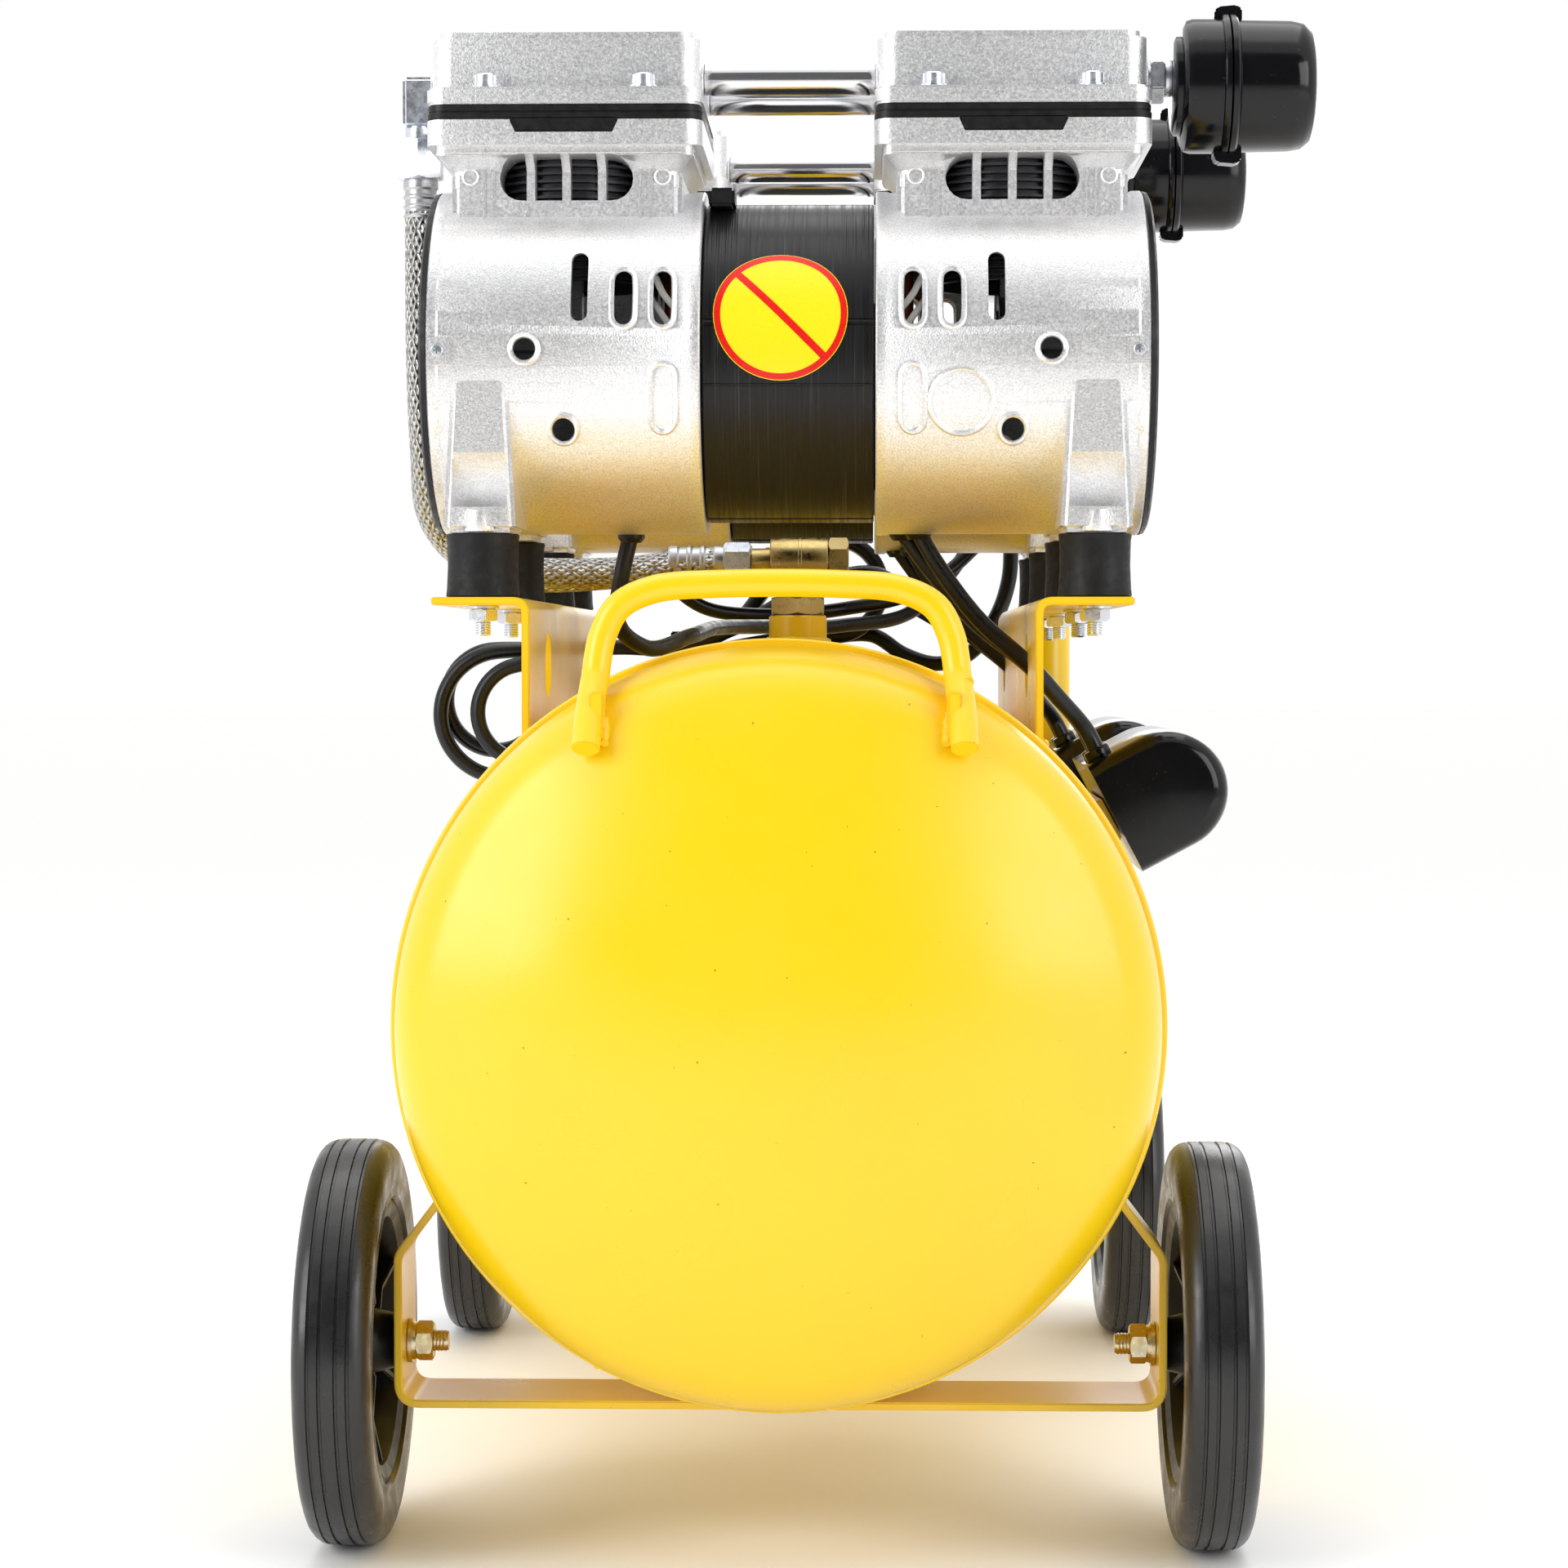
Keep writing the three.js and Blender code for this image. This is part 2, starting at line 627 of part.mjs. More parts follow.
function makePressureSwitch() {
  const halfX = (SWITCH.right - SWITCH.left) / 2;
  const halfY = (SWITCH.far - SWITCH.near) / 2;
  const shell = prismAlongZ(roundedRectangle(halfX, halfY, 6), BLOCK.top + GAP, SWITCH.top);
  const gland = rod(5.2, [GLAND.x, GLAND.y, GLAND.bottom], [GLAND.x, GLAND.y, BLOCK.top + 2], 12, 7.5);
  return shell.translate([SWITCH.left + halfX, SWITCH.near + halfY, 0]).add(gland);
}

function makeSwitchKnob() {
  const [x, y] = [113, 234];
  return join(
    rod(5, [x, y, SWITCH.top + GAP], [x, y, 490], 12),
    rod(10, [x, y, 489], [x, y, 496], 16),
  );
}

function makeRegulatorKnob() {
  return rod(15, [REGULATOR_X, 264 + GAP, BLOCK.z], [REGULATOR_X, 290, BLOCK.z], 16);
}

function makePressureGauge() {
  return join(
    rod(4.5, [GAUGE.x, 250, BLOCK.top + GAP], [GAUGE.x, 250, GAUGE.z], 8),
    rod(GAUGE.radius, [GAUGE.x, 240, GAUGE.z], [GAUGE.x, GAUGE.face, GAUGE.z], 24),
  );
}

function makeCouplerSleeve() {
  const sleeve = rod(10.5, [COUPLER_X, 266, BLOCK.z], [COUPLER_X, 283, BLOCK.z], 16);
  return sleeve.subtract(rod(7.5, [COUPLER_X, 265, BLOCK.z], [COUPLER_X, 284, BLOCK.z], 12));
}

function makeSafetyRing() {
  const ring = new THREE.TorusGeometry(8.5, 1.4, 6, 12);
  ring.rotateX(Math.PI / 2).translate(32, VENT_Y, BLOCK.z);
  const stem = rod(2, [40, VENT_Y, BLOCK.z], [48 - GAP, VENT_Y, BLOCK.z], 8);
  return solid(ring).add(stem);
}

place("outlet_manifold", makeManifold(), BRASS);
place("pressure_switch", makePressureSwitch(), BLACK_PLASTIC);
place("switch_knob", makeSwitchKnob(), RED_PLASTIC);
place("regulator_knob", makeRegulatorKnob(), BLACK_PLASTIC);
place("pressure_gauge", makePressureGauge(), STEEL);
place("coupler_sleeve", makeCouplerSleeve(), STEEL);
place("safety_ring", makeSafetyRing(), STEEL);

// ---------------------------------------------------------------- mains cord
// The cord drops from the gland to the tank, then is folded over the tank's shoulder as a hank.
const CORD_TAIL_ROUTE = [
  [GLAND.x, GLAND.y, GLAND.bottom - GAP],
  [GLAND.x, GLAND.y, 386],
  [101, 217, 368],
  [95, 218.5, 350],
  [82, 220.5, 332],
  [66, 223, 327],
  [50, 226, 331.5],
  [34.5, 228.5, 341],
];

function makeHank() {
  const { nearY, farY } = HANK;
  const fold = (x, z, radius) => rod(radius, [x, nearY, z], [x, farY, z], 24);
  const runs = polygon([
    [-140, 268],
    [-95, 285],
    [-40, 325],
    [16, 337],
    [16, 391.5],
    [-45, 352],
    [-75, 341],
    [-150, 337],
  ]);
  const folds = join(fold(-148, 302, 35), fold(15, 364.3, 27.5));
  return folds.add(prismAlongY(runs, nearY, farY)).subtract(tankCutter);
}

// A moulded two-pin plug with its boot, lying on the cord and leaning down the tank's shoulder.
function makePlug() {
  const plug = join(
    rod(4.5, [0, 0, 0], [14, 0, 0], 10, 7),
    block([13, -12, -9], [40, 12, 9]),
    block([39, -7.1, -3], [56, -5.6, 3]),
    block([39, 5.6, -3], [56, 7.1, 3]),
  );
  return plug.rotate([0, 30, 0]).translate([45.5, 207, 366]);
}

place("mains_cord_tail", tubeThrough(CORD_TAIL_ROUTE, CORD_RADIUS, 8, 14), BLACK_RUBBER);
place("mains_cord_hank", makeHank(), BLACK_RUBBER);
place("mains_plug", makePlug(), BLACK_PLASTIC);

export default compressor;
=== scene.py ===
import math

import bmesh
import bpy
from mathutils import Matrix, Vector


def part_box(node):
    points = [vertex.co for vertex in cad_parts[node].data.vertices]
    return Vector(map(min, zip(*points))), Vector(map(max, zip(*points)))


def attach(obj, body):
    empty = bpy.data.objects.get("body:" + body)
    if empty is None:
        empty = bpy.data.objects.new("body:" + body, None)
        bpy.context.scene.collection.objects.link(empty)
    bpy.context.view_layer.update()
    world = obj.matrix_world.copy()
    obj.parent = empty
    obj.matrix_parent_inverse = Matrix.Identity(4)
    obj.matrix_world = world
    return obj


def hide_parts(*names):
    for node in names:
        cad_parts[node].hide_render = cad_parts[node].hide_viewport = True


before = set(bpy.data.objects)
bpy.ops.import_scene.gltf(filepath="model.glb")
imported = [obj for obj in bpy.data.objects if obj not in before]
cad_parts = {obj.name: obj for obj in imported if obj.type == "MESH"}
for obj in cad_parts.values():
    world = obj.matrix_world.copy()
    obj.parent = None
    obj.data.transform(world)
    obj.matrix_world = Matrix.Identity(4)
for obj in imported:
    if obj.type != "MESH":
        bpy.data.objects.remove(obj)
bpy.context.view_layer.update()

# Pieces are drawn in millimetres round a local point, and add() sets them in the frame, in metres.
# All but the pumps' pieces are drawn from the floor under the tank's axis.
MM = 0.001
X, Y, Z = Vector((1, 0, 0)), Vector((0, 1, 0)), Vector((0, 0, 1))


def middle(node):
    """The middle of a CAD node's box, in millimetres."""
    low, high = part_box(node)
    return (low + high) / 2 / MM


def span(node):
    """A CAD node's lowest and highest corners, in millimetres."""
    low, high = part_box(node)
    return low / MM, high / MM


TANK_LOW, TANK_HIGH = span("tank")
TANK_RADIUS = (TANK_HIGH.x - TANK_LOW.x) / 2
TANK_Z = 197  # its axis above the floor
ON_AXIS = X * middle("tank").x  # the point on the floor under the tank's axis
PUMPS = {"front": middle("front_stator"), "rear": middle("rear_stator")}
HEAD_X = 85  # from a pump's middle to each head's middle

# ---- camera


def make_camera():
    """The photo's view: from the handle end, level with the tank's top, a little right of its axis."""
    data = bpy.data.cameras.new("camera")
    data.lens = 80.6
    data.sensor_width = 36
    camera = bpy.data.objects.new("camera", data)
    camera.location = (0.0179, -1.510, 0.330)
    camera.rotation_euler = (math.radians(90 - 2.064), 0, math.radians(1.399))
    bpy.context.scene.collection.objects.link(camera)
    bpy.context.scene.camera = camera


make_camera()

# ---- meshes


def new_object(name, mesh):
    """An object in the scene that shows a mesh."""
    piece = bpy.data.objects.new(name, mesh)
    bpy.context.scene.collection.objects.link(piece)
    return piece


def mesh_of(form, name="shape"):
    """A form's mesh, with its faces pointing out."""
    bmesh.ops.recalc_face_normals(form, faces=form.faces)
    mesh = bpy.data.meshes.new(name)
    form.to_mesh(mesh)
    form.free()
    return mesh


def merge(*forms):
    """Several forms in one, each of them still a closed body of its own."""
    whole = bmesh.new()
    for form in forms:
        mesh = bpy.data.meshes.new("part")
        form.to_mesh(mesh)
        form.free()
        whole.from_mesh(mesh)
        bpy.data.meshes.remove(mesh)
    return whole


def moved(form, by=(0, 0, 0), turn=None):
    """The form turned about its local point, and then moved."""
    if turn is not None:
        bmesh.ops.transform(form, matrix=turn.to_4x4(), verts=form.verts)
    bmesh.ops.translate(form, vec=Vector(by), verts=form.verts)
    return form


def spun(form, degrees, axis="X"):
    """The form turned about an axis through its local point."""
    return moved(form, turn=Matrix.Rotation(math.radians(degrees), 3, axis))


def mirrored(form, scale=(-1, 1, 1)):
    """The form mirrored, in X unless the scale names another axis."""
    bmesh.ops.scale(form, vec=scale, verts=form.verts)
    bmesh.ops.reverse_faces(form, faces=form.faces)
    return form


def turn_to(axis):
    """The rotation that takes +Z to an axis, and keeps +Y as upright as it can."""
    axis = Vector(axis).normalized()
    if axis.z > 0.999:
        return Matrix.Identity(3)
    return axis.to_track_quat("Z", "Y").to_matrix()


def turned(profile, axis=Z, at=(0, 0, 0), sides=64):
    """A profile of (radius, distance along) points turned about an axis, closed on it or on itself."""
    form = bmesh.new()
    rings = []
    for radius, along in profile:
        if radius < 1e-6:
            rings.append([form.verts.new((0, 0, along))])
            continue
        ring = []
        for i in range(sides):
            angle = 2 * math.pi * i / sides
            ring.append(form.verts.new((radius * math.cos(angle), radius * math.sin(angle), along)))
        rings.append(ring)
    if len(rings[0]) > 1 or len(rings[-1]) > 1:
        rings.append(rings[0])
    for low, high in zip(rings, rings[1:]):
        for i in range(sides):
            j = (i + 1) % sides
            corners = [low[i % len(low)], low[j % len(low)], high[j % len(high)], high[i % len(high)]]
            corners = list(dict.fromkeys(corners))
            if len(corners) > 2:
                form.faces.new(corners)
    bmesh.ops.recalc_face_normals(form, faces=form.faces)
    return moved(form, at, turn_to(axis))


def cylinder(radius, length, axis=Z, at=(0, 0, 0), sides=48, edge=0.5, end_radius=None):
    """A round bar with softened edges, from a point along an axis."""
    end = radius if end_radius is None else end_radius
    edge = min(edge, length / 3, radius / 2)
    slope = (end - radius) / length
    profile = [
        (0, 0),
        (radius - edge, 0),
        (radius - 0.3 * edge, 0.3 * edge),
        (radius + slope * edge, edge),
        (end - slope * edge, length - edge),
        (end - 0.3 * edge, length - 0.3 * edge),
        (end - edge, length),
        (0, length),
    ]
    return turned(profile, axis, at, sides)


def rounded(form, edges, width, steps):
    """The form with some of its edges rounded."""
    bmesh.ops.bevel(form, geom=edges, offset=width, segments=steps, affect="EDGES", clamp_overlap=True)
    return form


def soft(form, width, steps=2, angle=30):
    """The form with its sharp edges rounded."""
    sharp = [e for e in form.edges if len(e.link_faces) == 2 and e.calc_face_angle(0) > math.radians(angle)]
    return rounded(form, sharp, width, steps)


def soft_rim(form, z, width):
    """The form with the edges at one height rounded."""
    rim = [e for e in form.edges if all(abs(v.co.z - z) < 0.01 for v in e.verts)]
    return rounded(form, rim, width, 4)


def prism(outline, depth, axis=Z, at=(0, 0, 0), edge=0.0, steps=2):
    """An outline in X and Y, extruded along Z with softened edges, and then turned to an axis."""
    form = bmesh.new()
    low = [form.verts.new((x, y, 0)) for x, y in outline]
    high = [form.verts.new((x, y, depth)) for x, y in outline]
    form.faces.new(low)
    form.faces.new(high)
    for i in range(len(low)):
        j = (i + 1) % len(low)
        form.faces.new([low[i], low[j], high[j], high[i]])
    bmesh.ops.recalc_face_normals(form, faces=form.faces)
    if edge:
        soft(form, edge, steps)
    return moved(form, at, axis if isinstance(axis, Matrix) else turn_to(axis))


# Turns for a prism drawn in X and Z, with its depth along +Y, or in Y and Z, with its depth along +X.
IN_XZ = Matrix(((1, 0, 0), (0, 0, 1), (0, 1, 0)))
IN_YZ = Matrix(((0, 0, 1), (1, 0, 0), (0, 1, 0)))


def box(low, high, edge=0.0, steps=2):
    """A block between two corners."""
    (x0, y0, z0), (x1, y1, z1) = low, high
    outline = [(x0, y0), (x1, y0), (x1, y1), (x0, y1)]
    return prism(outline, z1 - z0, Z, (0, 0, z0), edge, steps)


def arc(centre, radius, start, end, steps):
    """Points on an arc, from one angle to another, in degrees."""
    points = []
    for i in range(steps + 1):
        angle = math.radians(start + (end - start) * i / steps)
        points.append((centre[0] + radius * math.cos(angle), centre[1] + radius * math.sin(angle)))
    return points


def ring(radius, sides):
    """A circle's points, each once."""
    return arc((0, 0), radius, 0, 360 - 360 / sides, sides - 1)


def fluted(radius, depth, flutes, steps):
    """A round outline with a wavy edge, for a grip."""
    outline = []
    for i in range(steps):
        angle = 2 * math.pi * i / steps
        reach = radius + depth * math.cos(flutes * angle)
        outline.append((reach * math.cos(angle), reach * math.sin(angle)))
    return outline


def round_rectangle(half_x, half_y, corner, centre=(0, 0), steps=5):
    """A rectangle's outline with round corners."""
    points = []
    for quarter, (sx, sy) in enumerate(((1, 1), (-1, 1), (-1, -1), (1, -1))):
        middle_of_arc = (centre[0] + sx * (half_x - corner), centre[1] + sy * (half_y - corner))
        points += arc(middle_of_arc, corner, 90 * quarter, 90 * quarter + 90, steps)
    return points


def hexagon(across_flats, start=30):
    """A hexagon's corners, from one at an angle in degrees."""
    return arc((0, 0), across_flats / math.sqrt(3), start, start + 300, 5)


def nut(across_flats, height, hole=0.0, axis=Z, at=(0, 0, 0), start=30):
    """A hexagonal nut with chamfered corners."""
    body = prism(hexagon(across_flats, start), height)
    flat, corner = across_flats / 2 - 0.1, across_flats / math.sqrt(3) + 0.1
    chamfer = 0.9
    profile = [(0, 0), (flat, 0), (corner, chamfer), (corner, height - chamfer), (flat, height), (0, height)]
    shape = combine(body, "INTERSECT", turned(profile, sides=36))
    if hole:
        shape = combine(shape, "DIFFERENCE", cylinder(hole, height + 2, Z, (0, 0, -1), 24, 0.1))
    return moved(shape, at, turn_to(axis))


def thread(radius, length, axis=Z, at=(0, 0, 0), pitch=1.0, sides=20):
    """A threaded bar, as a stack of rings, chamfered at its far end."""
    root = radius - 0.35
    profile = [(0, 0), (root, 0)]
    for i in range(int(length / pitch)):
        profile += [(root, (i + 0.15) * pitch), (radius, (i + 0.55) * pitch), (radius, (i + 0.7) * pitch)]
    profile += [(radius - 0.6, length), (0, length)]
    return turned(profile, axis, at, sides)


def washer(hole, radius, thickness, axis=Z, at=(0, 0, 0), sides=32):
    """A flat ring."""
    return turned([(hole, 0), (radius, 0), (radius, thickness), (hole, thickness)], axis, at, sides)


def smooth_curve(points, spacing, closed=False):
    """A Catmull-Rom curve through points, as points about that far apart."""
    places = [Vector(p) for p in points]
    count = len(places)
    line = []
    for i in range(count if closed else count - 1):
        if closed:
            a, b, c, d = (places[(i + k - 1) % count] for k in range(4))
        else:
            b, c = places[i], places[i + 1]
            a = places[i - 1] if i else 2 * b - c
            d = places[i + 2] if i + 2 < count else 2 * c - b
        steps = max(2, math.ceil((c - b).length / spacing))
        t0, t1, t2, t3 = knots(a, b, c, d)
        for k in range(steps):
            line.append(catmull_rom(a, b, c, d, t0, t1, t2, t3, t1 + (t2 - t1) * k / steps))
    if not closed:
        line.append(places[-1])
    return line


def knots(a, b, c, d):
    """Centripetal spacing of four points."""
    t1 = math.sqrt((b - a).length)
    t2 = t1 + math.sqrt((c - b).length)
    return 0.0, t1, t2, t2 + math.sqrt((d - c).length)


def catmull_rom(a, b, c, d, t0, t1, t2, t3, t):
    """The point at t of the curve that runs from b to c."""
    ab = a.lerp(b, (t - t0) / (t1 - t0))
    bc = b.lerp(c, (t - t1) / (t2 - t1))
    cd = c.lerp(d, (t - t2) / (t3 - t2))
    abc = ab.lerp(bc, (t - t0) / (t2 - t0))
    bcd = bc.lerp(cd, (t - t1) / (t3 - t1))
    return abc.lerp(bcd, (t - t1) / (t2 - t1))


def swept(line, outline, closed=False):
    """An outline carried along a line of points without twisting, with flat ends and lengthwise UVs."""
    form = bmesh.new()
    uv = form.loops.layers.uv.new("UVMap")
    count, sides = len(line), len(outline)
    up = None
    rings, travelled, far = [], [], 0.0
    for i, place in enumerate(line):
        before = line[i - 1] if closed or i else line[i]
        after = line[(i + 1) % count] if closed or i + 1 < count else line[i]
        along = (Vector(after) - Vector(before)).normalized()
        if up is None:
            up = along.orthogonal() if abs(along.z) > 0.9 else Z - along * along.z
        up = (up - along * along.dot(up)).normalized()
        across = along.cross(up)
        rings.append([form.verts.new(Vector(place) + across * u + up * v) for u, v in outline])
        travelled.append(far)
        if i + 1 < count:
            far += (Vector(line[i + 1]) - Vector(place)).length
    pairs = list(zip(range(count - 1), range(1, count)))
    if closed:
        pairs.append((count - 1, 0))
    for a, b in pairs:
        start, end = travelled[a], travelled[b] if b else far
        for i in range(sides):
            j = (i + 1) % sides
            face = form.faces.new([rings[a][i], rings[a][j], rings[b][j], rings[b][i]])
            corners = ((i, start), (i + 1, start), (i + 1, end), (i, end))
            for loop, (around, lengthwise) in zip(face.loops, corners):
                loop[uv].uv = (around / sides, lengthwise)
    if not closed:
        form.faces.new(rings[0])
        form.faces.new(rings[-1])
    bmesh.ops.recalc_face_normals(form, faces=form.faces)
    return form


def tube(points, radius, sides=24, spacing=2.0, closed=False):
    """A round bar along a smooth curve through points."""
    return swept(smooth_curve(points, spacing, closed), ring(radius, sides), closed)


def combine(form, operation, *others):
    """Adds, cuts or intersects closed forms with the Boolean modifier."""
    base = new_object("base", mesh_of(form))
    tools = []
    for other in others:
        tool = new_object("tool", mesh_of(other))
        tools.append(tool)
        step = base.modifiers.new("step", "BOOLEAN")
        step.operation = operation
        step.solver = "MANIFOLD"
        step.object = tool
    graph = bpy.context.evaluated_depsgraph_get()
    result = bmesh.new()
    result.from_mesh(base.evaluated_get(graph).to_mesh())
    for used in [base, *tools]:
        mesh = used.data
        bpy.data.objects.remove(used)
        bpy.data.meshes.remove(mesh)
    bmesh.ops.remove_doubles(result, verts=result.verts, dist=1e-3)
    bmesh.ops.dissolve_degenerate(result, dist=1e-4, edges=result.edges)
    return result


def add(name, form, material, body="root", at=ON_AXIS, replaces=(), angle=35):
    """Sets a form in the frame, its local point at a place, as a piece that rides on a body."""
    bmesh.ops.translate(form, vec=Vector(at), verts=form.verts)
    bmesh.ops.scale(form, vec=(MM, MM, MM), verts=form.verts)
    piece = new_object(name, mesh_of(form, name))
    piece.data.materials.append(material)
    piece.data.shade_smooth()
    piece.data.set_sharp_from_angle(angle=math.radians(angle))
    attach(piece, body)
    if replaces:
        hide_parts(*replaces)
    return piece


def add_moving(name, form, material, node):
    """A piece that takes a moving node's place, and rides on its body."""
    return add(name, form, material, node, replaces=[node])


# ---- materials


class Paint:
    """A material's node tree, with short ways to make its nodes."""

    def __init__(self, name, color, metallic=0.0, roughness=0.5, **sockets):
        self.material = bpy.data.materials.new(name)
        self.material.use_nodes = True
        self.tree = self.material.node_tree
        self.shader = self.tree.nodes["Principled BSDF"]
        self.shader.inputs["Base Color"].default_value = (*color, 1)
        self.shader.inputs["Metallic"].default_value = metallic
        self.shader.inputs["Roughness"].default_value = roughness
        for socket, value in sockets.items():
            self.shader.inputs[socket.replace("_", " ")].default_value = value
        self.color = color
        self.place = self.node("ShaderNodeTexCoord").outputs["Object"]
        self.normal = None

    def node(self, kind, **settings):
        made = self.tree.nodes.new(kind)
        for key, value in settings.items():
            setattr(made, key, value)
        return made

    def link(self, out, into):
        self.tree.links.new(out, into)

    def stretched(self, scale):
        mapping = self.node("ShaderNodeMapping")
        mapping.inputs["Scale"].default_value = scale
        self.link(self.place, mapping.inputs["Vector"])
        return mapping.outputs["Vector"]

    def noise(self, scale, detail=3.0, roughness=0.5, stretch=None):
        made = self.node("ShaderNodeTexNoise")
        made.inputs["Scale"].default_value = scale
        made.inputs["Detail"].default_value = detail
        made.inputs["Roughness"].default_value = roughness
        self.link(self.stretched(stretch) if stretch else self.place, made.inputs["Vector"])
        return made.outputs["Fac"]

    def ramp(self, value, low, high, start, end):
        """Maps a value between two stops to a range."""
        made = self.node("ShaderNodeMapRange", clamp=True)
        for socket, number in (("From Min", low), ("From Max", high), ("To Min", start), ("To Max", end)):
            made.inputs[socket].default_value = number
        self.link(value, made.inputs["Value"])
        return made.outputs["Result"]

    def tint(self, value, other, most=1.0):
        """Mixes another colour into the base colour by a value."""
        made = self.node("ShaderNodeMix", data_type="RGBA")
        current = self.shader.inputs["Base Color"]
        if current.is_linked:
            self.link(current.links[0].from_socket, made.inputs[6])
        else:
            made.inputs[6].default_value = current.default_value
        made.inputs[7].default_value = (*other, 1)
        self.link(self.ramp(value, 0, 1, 0, most), made.inputs[0])
        self.link(made.outputs[2], current)
        return self

    def roughness(self, value, low, high, start, end):
        self.link(self.ramp(value, low, high, start, end), self.shader.inputs["Roughness"])
        return self

    def bump(self, value, depth, strength=1.0):
        """Raises the surface by a value, to a depth in metres."""
        made = self.node("ShaderNodeBump")
        made.inputs["Strength"].default_value = strength
        made.inputs["Distance"].default_value = depth
        self.link(value, made.inputs["Height"])
        if self.normal is not None:
            self.link(self.normal, made.inputs["Normal"])
        self.normal = made.outputs["Normal"]
        self.link(self.normal, self.shader.inputs["Normal"])
        return self


def yellow_paint():
    """Sprayed gloss enamel: slight orange peel, a little dust, small dark specks."""
    paint = Paint("yellow_paint", (0.94, 0.62, 0.003), 0.0, 0.3, Coat_Weight=0.35, Coat_Roughness=0.22)
    paint.tint(paint.ramp(paint.noise(9, 4), 0.45, 0.75, 0, 1), (0.86, 0.52, 0.002), 0.35)
    paint.tint(paint.ramp(paint.noise(420, 1), 0.79, 0.83, 0, 1), (0.10, 0.06, 0.01), 0.7)
    paint.roughness(paint.noise(25, 4), 0.3, 0.75, 0.26, 0.42)
    paint.bump(paint.noise(260, 2), 0.00012, 0.35)
    paint.bump(paint.noise(30, 2), 0.0005, 0.25)
    return paint.material


def cast_aluminium():
    """Sand-blasted die casting: bright fine grain over a soft satin sheen."""
    paint = Paint("cast_aluminium", (0.94, 0.94, 0.95), 0.82, 0.38)
    paint.tint(paint.ramp(paint.noise(1500, 2), 0.42, 0.62, 0, 1), (0.60, 0.60, 0.61), 0.6)
    paint.tint(paint.ramp(paint.noise(18, 4), 0.45, 0.8, 0, 1), (0.80, 0.80, 0.80), 0.3)
    paint.roughness(paint.noise(900, 2), 0.3, 0.7, 0.32, 0.48)
    paint.bump(paint.noise(1400, 2, 0.6), 0.00022, 0.55)
    return paint.material


def machined_aluminium():
    """Fins and bores inside the casings."""
    paint = Paint("machined_aluminium", (0.55, 0.55, 0.56), 0.9, 0.32)
    paint.roughness(paint.noise(200, 3, 0.5, (1, 1, 12)), 0.3, 0.7, 0.25, 0.45)
    paint.bump(paint.noise(300, 2, 0.5, (1, 1, 20)), 0.00008, 0.4)
    return paint.material


def shaded_liner():
    """The cylinders' outsides, coloured dark as painted shade for the hollow behind the neck's window."""
    # The dark base colour is painted shade: the cylinder sits in the casing's shadow behind the window.
    paint = Paint("shaded_liner", (0.07, 0.07, 0.075), 0.8, 0.38)
    paint.roughness(paint.noise(200, 3, 0.5, (1, 1, 12)), 0.3, 0.7, 0.3, 0.5)
    paint.bump(paint.noise(300, 2, 0.5, (1, 1, 20)), 0.00008, 0.4)
    return paint.material


def chrome_tube():
    """Bright drawn tube with faint lengthwise drawing lines and wipes."""
    paint = Paint("chrome_tube", (0.80, 0.80, 0.82), 1.0, 0.12)
    paint.roughness(paint.noise(60, 4, 0.6, (0.15, 1, 1)), 0.35, 0.75, 0.06, 0.28)
    paint.bump(paint.noise(500, 2, 0.5, (0.03, 1, 1)), 0.00005, 0.3)
    return paint.material


def zinc_plate():
    """Bluish bright zinc on nuts, studs and fittings."""
    paint = Paint("zinc_plate", (0.72, 0.75, 0.80), 0.9, 0.3)
    paint.tint(paint.ramp(paint.noise(70, 3), 0.5, 0.7, 0, 1), (0.55, 0.62, 0.76), 0.6)
    paint.roughness(paint.noise(350, 3), 0.3, 0.7, 0.2, 0.4)
    paint.bump(paint.noise(700, 2), 0.00006, 0.4)
    return paint.material


def yellow_zinc():
    """Yellow passivated nuts and washers on the axle bolts."""
    paint = Paint("yellow_zinc", (0.70, 0.60, 0.36), 1.0, 0.26)
    paint.tint(paint.ramp(paint.noise(120, 3), 0.45, 0.7, 0, 1), (0.66, 0.66, 0.62), 0.8)
    paint.roughness(paint.noise(350, 3), 0.3, 0.7, 0.2, 0.42)
    paint.bump(paint.noise(700, 2), 0.00006, 0.4)
    return paint.material


def brass():
    """Turned brass with fine tool marks and darker patches."""
    paint = Paint("brass", (0.44, 0.34, 0.14), 1.0, 0.3)
    paint.tint(paint.ramp(paint.noise(55, 4), 0.5, 0.75, 0, 1), (0.34, 0.21, 0.07), 0.6)
    paint.roughness(paint.noise(300, 3), 0.3, 0.7, 0.2, 0.42)
    paint.bump(paint.noise(800, 2), 0.00006, 0.4)
    return paint.material


def black_plastic():
    """Glossy moulded black plastic with a faint ripple."""
    paint = Paint("black_plastic", (0.003, 0.003, 0.004), 0.0, 0.12, Specular_IOR_Level=0.35)
    paint.tint(paint.ramp(paint.noise(700, 1), 0.74, 0.8, 0, 1), (0.08, 0.08, 0.08), 0.35)
    paint.roughness(paint.noise(35, 4), 0.35, 0.75, 0.1, 0.26)
    paint.bump(paint.noise(60, 2), 0.0002, 0.2)
    return paint.material


def satin_plastic():
    """Black covers and valve plates with a fine moulded grain."""
    paint = Paint("satin_plastic", (0.007, 0.007, 0.008), 0.0, 0.42, Specular_IOR_Level=0.3)
    paint.roughness(paint.noise(300, 3), 0.3, 0.7, 0.34, 0.55)
    paint.bump(paint.noise(1100, 2), 0.00008, 0.5)
    return paint.material


